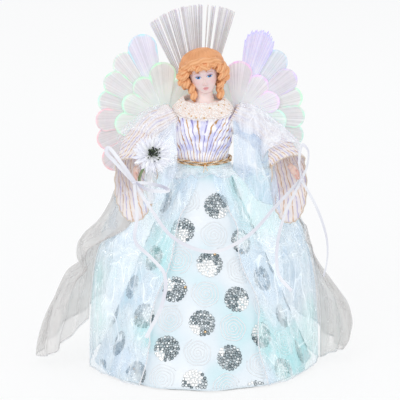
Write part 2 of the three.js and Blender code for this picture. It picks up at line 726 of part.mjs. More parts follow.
for (const [name, arm] of Object.entries(ARMS)) {
  const sleeve = (u, v) => sleevePoint(arm, lerp(0.03, 0.97, v), u * 2 * Math.PI, 0);
  addPiece(`sleeve_${name}`, cut(clothSheet(sleeve, 14, 7, CLOTH, true), bodyClear, collarClear), FINISH.stripe);

  const shawlEase = (u, v) => SHAWL_EASE + v * SHAWL_FLARE + 0.3 * Math.sin(6 * Math.PI * u);
  const shawl = (u, v) =>
    sleevePoint(arm, lerp(0.05, 0.6, v), radians(lerp(-30, 210, u)), shawlEase(u, v));
  addPiece(`shawl_${name}`, cut(clothSheet(shawl, 10, 5, CLOTH), bodyClear, collarClear), FINISH.organza);

  const wristEnd = arm.curve.getPoint(1).addScaledVector(arm.reach, CLEARANCE);
  const thin = vec(0, 0, 1).cross(arm.reach).normalize();
  const wide = arm.reach.clone().cross(thin);
  const HAND_WIDE = [[0, 2.8], [0.25, 3.4], [0.5, 4.6], [0.75, 4], [1, 1.8]];
  const HAND_THIN = [[0, 2.6], [0.25, 2.7], [0.5, 2.6], [0.75, 2.2], [1, 1.2]];
  const ring = (t) =>
    Array.from({ length: 10 }, (_, i) => {
      const turn = (i / 10) * 2 * Math.PI;
      return wristEnd
        .clone()
        .addScaledVector(arm.reach, t * HAND_LENGTH)
        .addScaledVector(thin, along(HAND_THIN, t) * Math.cos(turn))
        .addScaledVector(wide, along(HAND_WIDE, t) * Math.sin(turn));
    });
  addPiece(`hand_${name}`, loftBody([0, 0.25, 0.5, 0.75, 1].map(ring)), FINISH.resin);
  arm.palm = wristEnd.clone().addScaledVector(arm.reach, HAND_LENGTH / 2);
  arm.palmSide = thin;
  arm.fingertip = wristEnd.clone().addScaledVector(arm.reach, HAND_LENGTH);
}

// Flower in the left hand: its stem lies against the palm
const STEM_RADIUS = 1.2;
const BLOOM_RADIUS = 17;
const BLOOM_DEPTH = 9;
const bloomAxis = vec(0.15, -0.85, 0.5).normalize();
const palmClear = 2.7 + CLEARANCE + STEM_RADIUS;
const inward = ARMS.left.palmSide.clone().multiplyScalar(ARMS.left.palmSide.x < 0 ? -1 : 1);
const stemGrip = ARMS.left.palm.clone().addScaledVector(inward, palmClear);
const bloomMiddle = stemGrip.clone().add(vec(10, -9, 20));
const bloomBase = bloomMiddle.clone().addScaledVector(bloomAxis, -BLOOM_DEPTH - 3 * CLEARANCE);
addPiece(
  "flower_stem",
  tubeAlong([stemGrip.clone().add(vec(-1, 2, -11)), stemGrip, bloomBase], STEM_RADIUS, 6, 7),
  FINISH.stem,
);
const BLOOM_PETALS = 9;
const BLOOM_STOPS = [[0.08, -1], [0.3, -0.85], [0.85, 0], [1, 0.5], [0.75, 0.6], [0.35, 0.2], [0.08, 0.1]];
const bloomRing = ([reach, rise]) =>
  Array.from({ length: 4 * BLOOM_PETALS }, (_, i) => {
    const notch = 0.22 * smoothstep(reach, 0.4, 1) * (0.5 - 0.5 * Math.cos((i * Math.PI) / 2));
    return around((i / (4 * BLOOM_PETALS)) * 2 * Math.PI, BLOOM_RADIUS * reach * (1 - notch), BLOOM_DEPTH * rise);
  });
const bloom = loftBody(BLOOM_STOPS.map(bloomRing));
bloom.applyQuaternion(new THREE.Quaternion().setFromUnitVectors(vec(0, 0, 1), bloomAxis));
addPiece("flower_bloom", bloom.translate(bloomMiddle.x, bloomMiddle.y, bloomMiddle.z), FINISH.feather);

// Satin ribbons: flat bands through chosen points
const RIBBON_WIDTH = 3.2;
const RIBBON_THICKNESS = 0.5;
function ribbon(points) {
  const curve = new THREE.CatmullRomCurve3(points);
  const outward = (point) => vec(point.x * 0.6, point.y, 0).normalize();
  const place = (u, v) => {
    const t = Math.min(1, Math.max(0, v));
    const point = curve.getPoint(t);
    const side = curve.getTangent(t).cross(outward(point)).normalize();
    return point.addScaledVector(side, (u - 0.5) * RIBBON_WIDTH);
  };
  return clothSheet(place, 1, 5 * (points.length - 1), RIBBON_THICKNESS);
}
// Ribbons are tied at the fingertips, one upon the other
const tie = (arm, turn) =>
  arm.fingertip.clone().addScaledVector(arm.reach, 3 * CLEARANCE + turn * (RIBBON_THICKNESS + LAYER_GAP));
const RIBBON_POINTS = {
  ribbon_swag: [
    tie(ARMS.left, 0),
    vec(-52, -62, 160),
    vec(-32, -67, 134),
    vec(2, -69, 121),
    vec(34, -66, 134),
    vec(60, -56, 158),
    tie(ARMS.right, 0),
  ],
  ribbon_left: [
    tie(ARMS.left, 1),
    vec(-64, -62, 152),
    vec(-66, -68, 132),
    vec(-52, -76, 118),
    vec(-41, -80, 104),
    vec(-43, -84, 80),
    vec(-58, -85, 48),
  ],
  ribbon_right: [
    tie(ARMS.right, 1),
    vec(68, -60, 152),
    vec(60, -69, 124),
    vec(61, -76, 100),
    vec(72, -79, 86),
  ],
  ribbon_outer: [
    tie(ARMS.right, 2),
    vec(98, -46, 154),
    vec(108, -42, 124),
    vec(109, -40, 104),
    vec(106, -40, 88),
  ],
};
for (const [name, points] of Object.entries(RIBBON_POINTS)) {
  addPiece(name, ribbon(points), FINISH.satin);
}

// Head: skull, neck and moulded curls in one casting
const headBase = waistZ + TORSO_HEIGHT + CLEARANCE;
const skull = SKULL_WIDTH / 2;
const headZ = headBase + 1.42 * skull;
const inHead = (x, y, z) => vec(x * skull, y * skull, headZ + z * skull);
const skullRadii = (x, y, z) => vec(x * skull, y * skull, z * skull);
const CURLS = [
  { at: inHead(0, 0.5, -0.25), size: skullRadii(1.15, 0.72, 0.95) },
  { at: inHead(-0.62, -1, 0.82), size: skullRadii(0.44, 0.3, 0.26) },
  { at: inHead(0.05, -1.12, 0.86), size: skullRadii(0.46, 0.3, 0.24) },
  { at: inHead(0.66, -0.96, 0.8), size: skullRadii(0.4, 0.3, 0.28) },
];
for (const side of [-1, 1]) {
  CURLS.push(
    { at: inHead(side * 1.22, -0.3, 0.15), size: skullRadii(0.36, 0.5, 0.5) },
    { at: inHead(side * 1.3, -0.12, -0.4), size: skullRadii(0.42, 0.55, 0.46) },
    { at: inHead(side * 1.2, 0, -0.85), size: skullRadii(0.4, 0.52, 0.42) },
    { at: inHead(side * 1.04, 0.3, -1.1), size: skullRadii(0.42, 0.46, 0.4) },
  );
}
// Below the face: chin and nose, then the last ringlet of each side, which hangs plumb inside the collar
const FEATURES = [
  { at: inHead(0, -0.62, -0.86), size: skullRadii(0.46, 0.5, 0.44) },
  { at: inHead(0, -1.24, -0.14), size: skullRadii(0.12, 0.18, 0.22) },
];
const RINGLETS = [-1, 1].map((side) => ({
  at: vec(side * (NECK_ROOT_WIDTH / 2 + 4.1), -1.5, headBase + 2),
  size: vec(3.4, 3.8, 6.5),
}));
const tiltAbout = (geometry) =>
  geometry.translate(0, 0, -headZ).rotateY(radians(HEAD_TILT)).translate(0, 0, headZ);
addPiece(
  "head",
  join(
    post(skull * 0.48, 0, 0.5, headBase, headZ - skull * 0.3, 16),
    tiltAbout(ball(inHead(0, -0.2, 0), skullRadii(1, 1.08, 1.22), 14)),
    tiltAbout(ball(inHead(0, 0.14, 0.3), skullRadii(1.5, 1.2, 1.22), 14)),
    ...[...CURLS, ...FEATURES].map((lump) => tiltAbout(ball(lump.at, lump.size, 8))),
    ...RINGLETS.map((lump) => ball(lump.at, lump.size, 8)),
  ),
  FINISH.resin,
);

// Wings: flat petals of fibre that fan out from two points on the hub, every other one a layer behind
const hubZ = waistZ + HUB_RISE;
function petal(length, halfAngle) {
  const slope = Math.tan(radians(halfAngle));
  const halfWidth = (slope * length) / (1 + slope);
  const round = length - halfWidth;
  const outline = new THREE.Shape();
  outline.moveTo(-slope * PETAL_ROOT, PETAL_ROOT);
  outline.lineTo(slope * PETAL_ROOT, PETAL_ROOT);
  outline.absarc(0, round, halfWidth, 0, Math.PI);
  return new THREE.ExtrudeGeometry(outline, { depth: PETAL_THICKNESS, bevelEnabled: false, curveSegments: 5 });
}
function addPetals(label, layer, y) {
  const { count, first, last, shortest, extra, halfAngle } = layer;
  for (const [name, side] of [["left", -1], ["right", 1]]) {
    for (let i = 0; i < count; i += 1) {
      const fan = i / (count - 1);
      const length = shortest + extra * (1.7 * fan - 1) ** 2;
      const blade = petal(length, halfAngle)
        .rotateX(Math.PI / 2)
        .rotateY(side * radians(lerp(first, last, fan)))
        .translate(side * HUB_SPREAD, y + (i % 2) * layerStep + PETAL_THICKNESS, hubZ);
      addPiece(`${label}_petal_${name}_${i + 1}`, blade, FINISH.fibre);
    }
  }
}
addPetals("inner", INNER_PETALS, wingFront);
addPetals("outer", OUTER_PETALS, outerLayer);

// Hub: a pillowed cap behind the roots of the petals and the halo
const hubHalfHeight = 15;
const hubRing = (y, inset) => {
  const outline = new THREE.Shape();
  const radius = hubHalfHeight - inset;
  outline.absarc(HUB_SPREAD, 0, radius, -Math.PI / 2, Math.PI / 2);
  outline.absarc(-HUB_SPREAD, 0, radius, Math.PI / 2, 1.5 * Math.PI);
  const stops = outline.getPoints(5).filter((p, i, all) => i === 0 || p.distanceTo(all[i - 1]) > 0.01);
  if (stops[0].distanceTo(stops[stops.length - 1]) < 0.01) stops.pop();
  return stops.map((p) => vec(p.x, y, hubZ - 3 + p.y));
};
addPiece(
  "wing_hub",
  loftBody([
    hubRing(hubFront, 0),
    hubRing(hubFront + HUB_DEPTH * 0.5, 0),
    hubRing(hubFront + HUB_DEPTH * 0.85, 2),
    hubRing(hubFront + HUB_DEPTH, 5),
  ]),
  FINISH.whitePlastic,
);

// Halo: two layers of cut fibres, fused to a slice of their binding
const haloZ = waistZ + HALO_RISE;
const haloLayer = outerLayer + layerStep;
const haloRoot = { inner: 8, outer: 18 };
const strandDepth = PETAL_THICKNESS * 0.4;
function haloStrand(degrees, y) {
  const angle = radians(degrees);
  const half = radians(HALO_PITCH) * 0.3;
  const tip = HALO_RADIUS - 5 * (degrees / 25) ** 2;
  const corner = (turn, radius, depth) =>
    vec(radius * Math.sin(turn), depth, haloZ + radius * Math.cos(turn));
  const section = (radius) => [
    corner(angle - half, radius, y),
    corner(angle + half, radius, y),
    corner(angle + half, radius, y + strandDepth),
    corner(angle - half, radius, y + strandDepth),
  ];
  return loftBody([section(haloRoot.outer - 1), section(tip)]);
}
const binding = new THREE.Shape();
binding.absarc(0, 0, haloRoot.outer, radians(70), radians(119));
binding.absarc(0, 0, haloRoot.inner, radians(119), radians(70), true);
const haloSlice = new THREE.ExtrudeGeometry(binding, { depth: PETAL_THICKNESS, bevelEnabled: false, curveSegments: 8 })
  .rotateX(Math.PI / 2)
  .translate(0, haloLayer + PETAL_THICKNESS, haloZ);
const strands = HALO_CLUMPS.flatMap(({ from, to }) => {
  const count = Math.max(1, Math.round((to - from) / HALO_PITCH));
  return Array.from({ length: count }, (_, i) => {
    const degrees = from + ((i + 0.5) * (to - from)) / count;
    const layer = (i % 2) * (PETAL_THICKNESS / 2);
    return haloStrand(degrees, haloLayer + PETAL_THICKNESS * 0.05 + layer);
  });
});
addPiece("halo_fan", join(haloSlice, ...strands), FINISH.fibre);

export default topper;
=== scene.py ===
import math
import random

import bmesh
import bpy
from mathutils import Matrix, Vector, noise


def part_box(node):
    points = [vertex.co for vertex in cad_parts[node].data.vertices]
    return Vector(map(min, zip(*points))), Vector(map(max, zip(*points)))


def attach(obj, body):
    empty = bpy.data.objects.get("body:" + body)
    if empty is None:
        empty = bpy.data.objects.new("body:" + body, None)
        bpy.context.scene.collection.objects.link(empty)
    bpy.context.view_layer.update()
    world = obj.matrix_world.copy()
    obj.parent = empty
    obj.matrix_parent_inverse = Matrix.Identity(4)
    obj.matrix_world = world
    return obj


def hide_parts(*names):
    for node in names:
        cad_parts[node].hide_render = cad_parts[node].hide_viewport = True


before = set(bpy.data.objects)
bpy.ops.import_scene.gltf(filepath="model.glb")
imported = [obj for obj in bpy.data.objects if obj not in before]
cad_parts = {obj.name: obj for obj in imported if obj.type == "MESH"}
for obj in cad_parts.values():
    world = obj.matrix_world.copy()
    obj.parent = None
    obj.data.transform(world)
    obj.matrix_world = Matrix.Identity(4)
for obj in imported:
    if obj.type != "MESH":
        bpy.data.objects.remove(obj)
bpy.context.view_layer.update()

# Fibre-optic angel tree topper. Sizes are in millimetres in the part's own frame: +Z up, facing -Y.
# Left and right are those of the front view; angles round the axis start in front and grow to the right.
MM = 0.001
dice = random.Random(7)


# Small tools

def linear(hex_colour):
    """A colour written as sRGB hex, as the linear RGBA that Blender takes."""
    shares = [int(hex_colour[i:i + 2], 16) / 255 for i in (1, 3, 5)]
    return (*(c / 12.92 if c <= 0.04045 else ((c + 0.055) / 1.055) ** 2.4 for c in shares), 1.0)


def mix(a, b, t):
    """Between two numbers or two colours."""
    if isinstance(a, tuple):
        return tuple(p + (q - p) * t for p, q in zip(a, b))
    return a + (b - a) * t


def ease(value, low, high):
    """0 below low, 1 above high, smooth between."""
    t = min(1.0, max(0.0, (value - low) / (high - low)))
    return t * t * (3 - 2 * t)


def hump(value, middle, spread):
    """A soft bump, 1 at its middle."""
    return math.exp(-(((value - middle) / spread) ** 2))


def swing(phase):
    """A wave between 0 and 1."""
    return 0.5 + 0.5 * math.sin(phase)


def along(stops, t):
    """Smooth value at t through stops of (t, value), level at each stop."""
    for (t0, v0), (t1, v1) in zip(stops, stops[1:]):
        if t <= t1:
            return mix(v0, v1, ease(t, t0, t1))
    return stops[-1][1]


def through(stops, t):
    """Smooth value at t through stops of (t, value), rising on through each stop."""
    if t <= stops[0][0]:
        return stops[0][1]
    for k in range(len(stops) - 1):
        (t1, v1), (t2, v2) = stops[k], stops[k + 1]
        if t <= t2:
            t0, v0 = stops[max(0, k - 1)]
            t3, v3 = stops[min(len(stops) - 1, k + 2)]
            rise1, rise2 = (v2 - v0) / (t2 - t0) * (t2 - t1), (v3 - v1) / (t3 - t1) * (t2 - t1)
            s = (t - t1) / (t2 - t1)
            return (
                v1 * (2 * s ** 3 - 3 * s ** 2 + 1) + v2 * (3 * s ** 2 - 2 * s ** 3)
                + rise1 * (s ** 3 - 2 * s ** 2 + s) + rise2 * (s ** 3 - s ** 2)
            )
    return stops[-1][1]


def around(angle, radius, z):
    """A point round the axis."""
    return Vector((radius * math.sin(angle), -radius * math.cos(angle), z))


def oval(angle, wide, deep, z):
    """A point on an oval round the axis, from its half width and half depth."""
    return Vector((wide * math.sin(angle), -deep * math.cos(angle), z))


def drift(x, y, z, size):
    """Smooth noise from -1 to 1 with bumps about size across, the same on every run."""
    return noise.noise(Vector((x, y, z)) / size)


def smooth_line(stops, steps):
    """The part's own smooth curve through chosen points, with steps spans between two of them."""
    stops = [Vector(p) for p in stops]
    whole = [2 * stops[0] - stops[1], *stops, 2 * stops[-1] - stops[-2]]
    line = []
    for p0, p1, p2, p3 in zip(whole, whole[1:], whole[2:], whole[3:]):
        d0, d1, d2 = (math.sqrt((b - a).length) for a, b in ((p0, p1), (p1, p2), (p2, p3)))
        leave = ((p1 - p0) / d0 - (p2 - p0) / (d0 + d1) + (p2 - p1) / d1) * d1
        meet = ((p2 - p1) / d1 - (p3 - p1) / (d1 + d2) + (p3 - p2) / d2) * d1
        for k in range(steps):
            t = k / steps
            line.append(
                p1 + leave * t + (3 * (p2 - p1) - 2 * leave - meet) * t ** 2
                + (2 * (p1 - p2) + leave + meet) * t ** 3
            )
    return [*line, stops[-1]]


class Heap:
    """Points, faces and shades of the small parts that make up one piece."""

    def __init__(self):
        self.points, self.faces, self.shades = [], [], []

    def put(self, shape, shade):
        """Adds a small part in one shade, or with a list of its points' shades."""
        points, faces = shape
        start = len(self.points)
        self.points += points
        self.faces += [tuple(start + i for i in face) for face in faces]
        self.shades += shade if isinstance(shade, list) else [shade] * len(points)


def grid_faces(columns, rows, closed=False):
    """Faces between rows of points; closed joins the end of each row to its start."""
    stops = columns if closed else columns + 1
    at = lambda i, j: j * stops + i % stops
    return [
        (at(i, j), at(i + 1, j), at(i + 1, j + 1), at(i, j + 1)) for j in range(rows) for i in range(columns)
    ]


def ring_faces(rings, sides, closed=False):
    """Faces between rings of points along a line, capped at both ends unless the line is closed."""
    at = lambda i, k: (i % rings) * sides + k % sides
    spans = rings if closed else rings - 1
    faces = [
        (at(i, k), at(i + 1, k), at(i + 1, k + 1), at(i, k + 1)) for i in range(spans) for k in range(sides)
    ]
    if not closed:
        faces += [tuple(range(sides)), tuple(reversed(range((rings - 1) * sides, rings * sides)))]
    return faces


def ball(middle, radii, steps=10, turn=None):
    """A ball or an ellipsoid, turned about its middle where a turn is given."""
    rows = max(4, round(steps * 0.6))
    points = [Vector((0, 0, 1))]
    for j in range(1, rows):
        fall = math.pi * j / rows
        for i in range(steps):
            spin = math.tau * i / steps
            flat = math.sin(fall)
            points.append(Vector((flat * math.cos(spin), flat * math.sin(spin), math.cos(fall))))
    points.append(Vector((0, 0, -1)))
    last = len(points) - 1
    at = lambda i, j: 1 + (j - 1) * steps + i % steps
    faces = [(0, at(i, 1), at(i + 1, 1)) for i in range(steps)]
    for j in range(1, rows - 1):
        faces += [(at(i, j), at(i, j + 1), at(i + 1, j + 1), at(i + 1, j)) for i in range(steps)]
    faces += [(last, at(i + 1, rows - 1), at(i, rows - 1)) for i in range(steps)]
    radii = Vector(radii) if hasattr(radii, "__len__") else Vector((radii,) * 3)
    placed = [Vector(p * r for p, r in zip(point, radii)) for point in points]
    if turn is not None:
        placed = [turn @ p for p in placed]
    return [p + Vector(middle) for p in placed], faces


def tube(line, thick, sides=8, closed=False):
    """A round tube along a line; thick is its radius, or a function of the share of the line."""
    radius = thick if callable(thick) else lambda t: thick
    line = [Vector(p) for p in line]
    count = len(line)
    points, across = [], None
    for i, middle in enumerate(line):
        ahead = line[(i + 1) % count] if closed or i + 1 < count else line[i]
        behind = line[i - 1] if closed or i else line[i]
        way = (ahead - behind).normalized()
        if across is None:
            across = way.orthogonal()
        across = (across - way * across.dot(way)).normalized()
        up = way.cross(across)
        for k in range(sides):
            turn = math.tau * k / sides
            reach = radius(i / max(1, count - 1))
            points.append(middle + (across * math.cos(turn) + up * math.sin(turn)) * reach)
    return points, ring_faces(count, sides, closed)


def over_sheet(value, columns, rows):
    """A value for each point of an open sheet, in the sheet's own order."""
    return [value(i / columns, j / rows) for j in range(rows + 1) for i in range(columns + 1)]


def sheet(place, columns, rows, closed=False, leave_out=None):
    """Cloth laid over place(u, v): its points, its faces, and u and v at each corner of each face."""
    stops = columns if closed else columns + 1
    points = [Vector(place(i / columns, j / rows)) for j in range(rows + 1) for i in range(stops)]
    faces, corners = [], []
    for k, face in enumerate(grid_faces(columns, rows, closed)):
        if leave_out and leave_out(sum((points[i] for i in face), Vector()) / 4):
            continue
        j, i = divmod(k, columns)
        faces.append(face)
        corners += [((i + a) / columns, (j + b) / rows) for a, b in ((0, 0), (1, 0), (1, 1), (0, 1))]
    return points, faces, corners


def piece(name, shape, finish, instead_of=(), cloth_map=None, traits=None, smooth=True):
    """A Blender object that rides on the figure, from a heap or a sheet in millimetres."""
    traits = traits or {}
    if isinstance(shape, Heap):
        points, faces = shape.points, shape.faces
        traits = {"shade": shape.shades, **traits}
    else:
        points, faces = shape[:2]
    mesh = bpy.data.meshes.new(name)
    mesh.from_pydata([tuple(p * MM) for p in points], [], faces)
    if cloth_map:
        layer = mesh.uv_layers.new(name="cloth")
        layer.data.foreach_set("uv", [c for corner in cloth_map for c in corner])
    for trait, values in traits.items():
        if hasattr(values[0], "__len__"):
            kept = mesh.color_attributes.new(trait, "FLOAT_COLOR", "POINT")
            kept.data.foreach_set("color", [c for value in values for c in value])
        else:
            kept = mesh.attributes.new(trait, "FLOAT", "POINT")
            kept.data.foreach_set("value", values)
    work = bmesh.new()
    work.from_mesh(mesh)
    bmesh.ops.delete(work, geom=[v for v in work.verts if not v.link_faces], context="VERTS")
    bmesh.ops.recalc_face_normals(work, faces=work.faces)
    work.to_mesh(mesh)
    work.free()
    mesh.polygons.foreach_set("use_smooth", [smooth] * len(mesh.polygons))
    mesh.materials.append(finish)
    thing = bpy.data.objects.new(name, mesh)
    bpy.context.scene.collection.objects.link(thing)
    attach(thing, "figure")
    if instead_of:
        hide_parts(*instead_of)
    return thing


def thicken(thing, thickness):
    """Gives a sheet its thickness, half to each side."""
    solid = thing.modifiers.new("cloth", "SOLIDIFY")
    solid.thickness = thickness * MM
    solid.offset = 0
    return thing


# Materials

def feed(tree, node, feeds):
    """Sets a node's inputs: a plain value on the socket itself, or a link from another node."""
    for socket, value in feeds.items():
        if isinstance(value, bpy.types.NodeSocket):
            tree.links.new(value, node.inputs[socket])
        else:
            node.inputs[socket].default_value = value


def add(tree, kind, feeds=None, stops=(), give=None, **settings):
    """Adds a node with settings, colour stops and feeds; gives the output asked for, or else its first."""
    made = tree.nodes.new("ShaderNode" + kind)
    for setting, value in settings.items():
        setattr(made, setting, value)
    for k, (place, colour) in enumerate(stops):
        bar = made.color_ramp.elements
        stop = bar[k] if k < len(bar) else bar.new(1.0)
        stop.position, stop.color = place, linear(colour)
    feed(tree, made, feeds or {})
    return made.outputs[give] if give else next((s for s in made.outputs if s.enabled), None)


def begin(name):
    """A new material's tree, with its shader joined to its output."""
    material = bpy.data.materials.new(name)
    material.use_nodes = True
    tree = material.node_tree
    tree.nodes.clear()
    shader = tree.nodes.new("ShaderNodeBsdfPrincipled")
    output = tree.nodes.new("ShaderNodeOutputMaterial")
    tree.links.new(shader.outputs[0], output.inputs["Surface"])
    return material, tree, shader


def satin_skirt():
    """Woven polyester satin lit from inside by the lamp, its glow painted: white, with the lamp's blue and
    aqua light painted into its colour as soft clouds.
    """
    material, tree, shader = begin("polyester_satin_lit")
    where = add(tree, "TexCoord", give="Object")
    clouds = add(tree, "TexNoise", {"Vector": where, "Scale": 1 / (55 * MM), "Detail": 2.0})
    # The satin is white; its blue and aqua clouds are painted lamp light
    dye_and_lamp_tint = add(tree, "ValToRGB", {"Fac": clouds}, [(0.32, "#F1F4F6"), (0.5, "#E7EEF2"), (0.68, "#CFE9EE")])
    shine = add(tree, "ValToRGB", {"Fac": clouds}, [(0.34, "#F0F4F8"), (0.5, "#BCE0F4"), (0.66, "#96E8E2")])
    height = add(tree, "SeparateXYZ", {"Vector": where}, give="Z")
    lit = add(tree, "MapRange", {"Value": height, "From Max": 175 * MM, "To Min": 0.08, "To Max": 0.07})
    # Satin floats are 0.1 mm; drawn at 1.4 mm so that they show
    floats = add(tree, "TexNoise", {"Vector": where, "Scale": 1 / (1.4 * MM), "Detail": 1.0})
    bump = add(tree, "Bump", {"Height": floats, "Strength": 0.12, "Distance": 0.6 * MM})
    feed(tree, shader, {
        "Base Color": dye_and_lamp_tint, "Emission Color": shine, "Emission Strength": lit, "Normal": bump,
        "Roughness": 0.4, "IOR": 1.5, "Sheen Weight": 0.15,
    })
    return material


def shaded(name, rough, grain, depth=0.0, metal=0.0, more=None):
    """A finish whose colour is the piece's own shade; its grain is so wide and so deep, in millimetres."""
    material, tree, shader = begin(name)
    where = add(tree, "TexCoord", give="Object")
    speck = add(tree, "TexNoise", {"Vector": where, "Scale": 1 / (grain * MM), "Detail": 3.0})
    shade = add(tree, "VertexColor", layer_name="shade")
    tint = add(tree, "Mix", {"Factor": 0.16, "A": shade, "B": speck}, data_type="RGBA", blend_type="OVERLAY")
    worn = add(tree, "MapRange", {"Value": speck, "To Min": rough - 0.08, "To Max": rough + 0.08})
    feed(tree, shader, {"Base Color": tint, "Roughness": worn, "Metallic": metal, **(more or {})})
    if depth:
        bump = add(tree, "Bump", {"Height": speck, "Strength": 0.35, "Distance": depth * MM})
        feed(tree, shader, {"Normal": bump})
    return material


def organza(name, hues, pale, thin, thick, spangles, glow):
    """Sheer nylon organza: crisp threads veil what is behind and catch the light, more where they crowd."""
    material, tree, shader = begin(name)
    where = add(tree, "TexCoord", give="Object")
    # Gathers hang down, so the cloth crowds in streaks 6 mm wide and six times as long
    hung = add(tree, "Mapping", {"Vector": where, "Scale": (1, 1, 0.16)})
    clouds = add(tree, "TexNoise", {"Vector": hung, "Scale": 1 / (6 * MM), "Detail": 3.0})
    # Threads stand 0.2 mm apart; drawn 1.4 mm apart so that they show
    threads = add(tree, "TexNoise", {"Vector": where, "Scale": 1 / (1.4 * MM), "Detail": 1.0})
    crowd = add(tree, "Math", {0: threads, 1: 0.2, 2: clouds}, operation="MULTIPLY_ADD")
    # Along a fold's ridge two layers lie together
    folds = add(tree, "Attribute", give="Fac", attribute_name="fold")
    crowd = add(tree, "Math", {0: folds, 1: 0.34, 2: crowd}, operation="MULTIPLY_ADD")
    veil = add(
        tree, "MapRange", {"Value": crowd, "From Min": 0.42, "From Max": 0.8, "To Min": thin, "To Max": thick}
    )
    # Pressed creases run round patches 14 mm wide and read as thin white lines: a double layer of cloth, with
    # a painted highlight along it
    paths = add(tree, "TexNoise", {"Vector": hung, "Scale": 1 / (14 * MM), "Detail": 1.0, "Distortion": 0.5})
    off_crease = add(tree, "Math", {0: paths, 1: 0.5}, operation="SUBTRACT")
    off_crease = add(tree, "Math", {0: off_crease}, operation="ABSOLUTE")
    creases = add(
        tree, "MapRange", {"Value": off_crease, "From Max": 0.024, "To Min": 0.6 * spangles, "To Max": 0.0}
    )
    # Spangles are 1.3 mm across and about 9 mm apart; their white is a painted glint
    cells = add(tree, "TexVoronoi", {"Vector": where, "Scale": 1 / (9 * MM)})
    dots = add(tree, "Math", {0: cells, 1: 0.075 * spangles}, operation="LESS_THAN")
    bright = add(tree, "Math", {0: creases, 1: dots}, operation="MAXIMUM")
    cover = add(tree, "Math", {0: veil, 1: bright}, operation="MAXIMUM")
    # The tint shifts slowly, over some 60 mm: partly the cloth's own pale tone, partly painted lamp light
    shift = add(tree, "TexNoise", {"Vector": where, "Scale": 1 / (60 * MM), "Detail": 1.0})
    tint = add(tree, "ValToRGB", {"Fac": shift}, list(zip((0.36, 0.5, 0.62), hues)))
    dense = add(tree, "MapRange", {"Value": crowd, "From Min": 0.45, "From Max": 0.8})
    dye_and_lamp_tint = add(tree, "Mix", {"Factor": dense, "A": tint, "B": linear(pale)}, data_type="RGBA")
    dye_and_lamp_tint = add(tree, "Mix", {"Factor": bright, "A": dye_and_lamp_tint, "B": linear("#FAFCFD")}, data_type="RGBA")
    # Painted glow for the lamp's light in the cloth: the lamp sits under the waist, so the upper cloth glows
    # more
    height = add(tree, "SeparateXYZ", {"Vector": where}, give="Z")
    lit = add(
        tree, "MapRange",
        {"Value": height, "From Min": 40 * MM, "From Max": 160 * MM, "To Min": glow, "To Max": 1.6 * glow},
    )
    bump = add(tree, "Bump", {"Height": clouds, "Strength": 0.2, "Distance": 2 * MM})
    feed(tree, shader, {
        "Base Color": dye_and_lamp_tint, "Alpha": cover, "Emission Color": dye_and_lamp_tint, "Emission Strength": lit, "Normal": bump,
        "Roughness": 0.45, "IOR": 1.5, "Sheen Weight": 0.3, "Sheen Roughness": 0.4,
    })
    return material


def striped_cloth(name, ground, painted_shade_share, glow, showing):
    """Thin crinkled polyester, so that light comes through, painted as a faint glow; with lavender and gold
    metal-thread stripes and painted lilac shade in soft patches.
    """
    material, tree, shader = begin(name)
    where = add(tree, "TexCoord", give="Object")
    cloth = add(tree, "UVMap", uv_map="cloth")
    across = add(tree, "SeparateXYZ", {"Vector": cloth}, give="X")
    wobble = add(tree, "TexNoise", {"Vector": where, "Scale": 1 / (9 * MM), "Detail": 2.0})
    bent = add(tree, "Math", {0: wobble, 1: 0.5, 2: across}, operation="MULTIPLY_ADD")
    place = add(tree, "Math", {0: bent}, operation="FRACT")
    # One repeat is about 8 mm on the bodice: a lavender line, plain, a gold line, plain
    lavender = [(0.0, ground), (0.05, "#9A93C8"), (0.12, "#ADA7D2"), (0.18, ground)]
    gold = [(0.5, ground), (0.54, "#B98448"), (0.61, "#CB9C5C"), (0.67, ground)]
    lines = add(tree, "ValToRGB", {"Fac": place}, lavender + gold)
    # Where the crinkle turns a stripe away, the ground shows instead
    turned = add(tree, "TexNoise", {"Vector": where, "Scale": 1 / (3.2 * MM), "Detail": 2.0})
    shown = add(
        tree, "MapRange",
        {"Value": turned, "From Min": 0.31, "From Max": 0.43, "To Min": 0.15, "To Max": showing},
    )
    colours = add(tree, "Mix", {"Factor": shown, "A": linear(ground), "B": lines}, data_type="RGBA")
    # Soft lilac patches multiplied over the cloth are painted shade
    painted_lilac_shade = add(tree, "ValToRGB", {"Fac": wobble}, [(0.36, "#C4C8F4"), (0.56, "#FFFFFF")])
    shares = {"Factor": painted_shade_share, "A": colours, "B": painted_lilac_shade}
    stripes_and_painted_shade = add(tree, "Mix", shares, data_type="RGBA", blend_type="MULTIPLY")
    metal = add(tree, "Math", {0: place, 1: 0.59, 2: 0.05}, operation="COMPARE")
    thread = add(tree, "Math", {0: metal, 1: 0.55}, operation="MULTIPLY")
    crinkle = add(tree, "TexNoise", {"Vector": where, "Scale": 1 / (2.2 * MM), "Detail": 2.0})
    bump = add(tree, "Bump", {"Height": crinkle, "Strength": 0.4, "Distance": 0.7 * MM})
    feed(tree, shader, {
        "Base Color": stripes_and_painted_shade, "Emission Color": stripes_and_painted_shade, "Emission Strength": glow, "Metallic": thread,
        "Normal": bump, "Roughness": 0.5, "IOR": 1.5, "Sheen Weight": 0.25,
    })
    return material


def optical_fibre():
    """Drawn acrylic fibre: greyish clear white along its sides, lit in colour where it is bent or cut."""
    material, tree, shader = begin("acrylic_optical_fibre")
    where = add(tree, "TexCoord", give="Object")
    shade = add(tree, "VertexColor", layer_name="shade")
    grain = add(tree, "TexNoise", {"Vector": where, "Scale": 1 / (4 * MM), "Detail": 2.0})
    tint = add(tree, "Mix", {"Factor": 0.2, "A": shade, "B": grain}, data_type="RGBA", blend_type="OVERLAY")
    feed(tree, shader, {
        "Base Color": tint,
        "Emission Color": add(tree, "VertexColor", layer_name="glow"),
        "Emission Strength": add(tree, "Attribute", give="Fac", attribute_name="lit"),
        "Roughness": 0.28, "IOR": 1.49, "Subsurface Weight": 0.15, "Subsurface Scale": 2 * MM,
    })
    return material


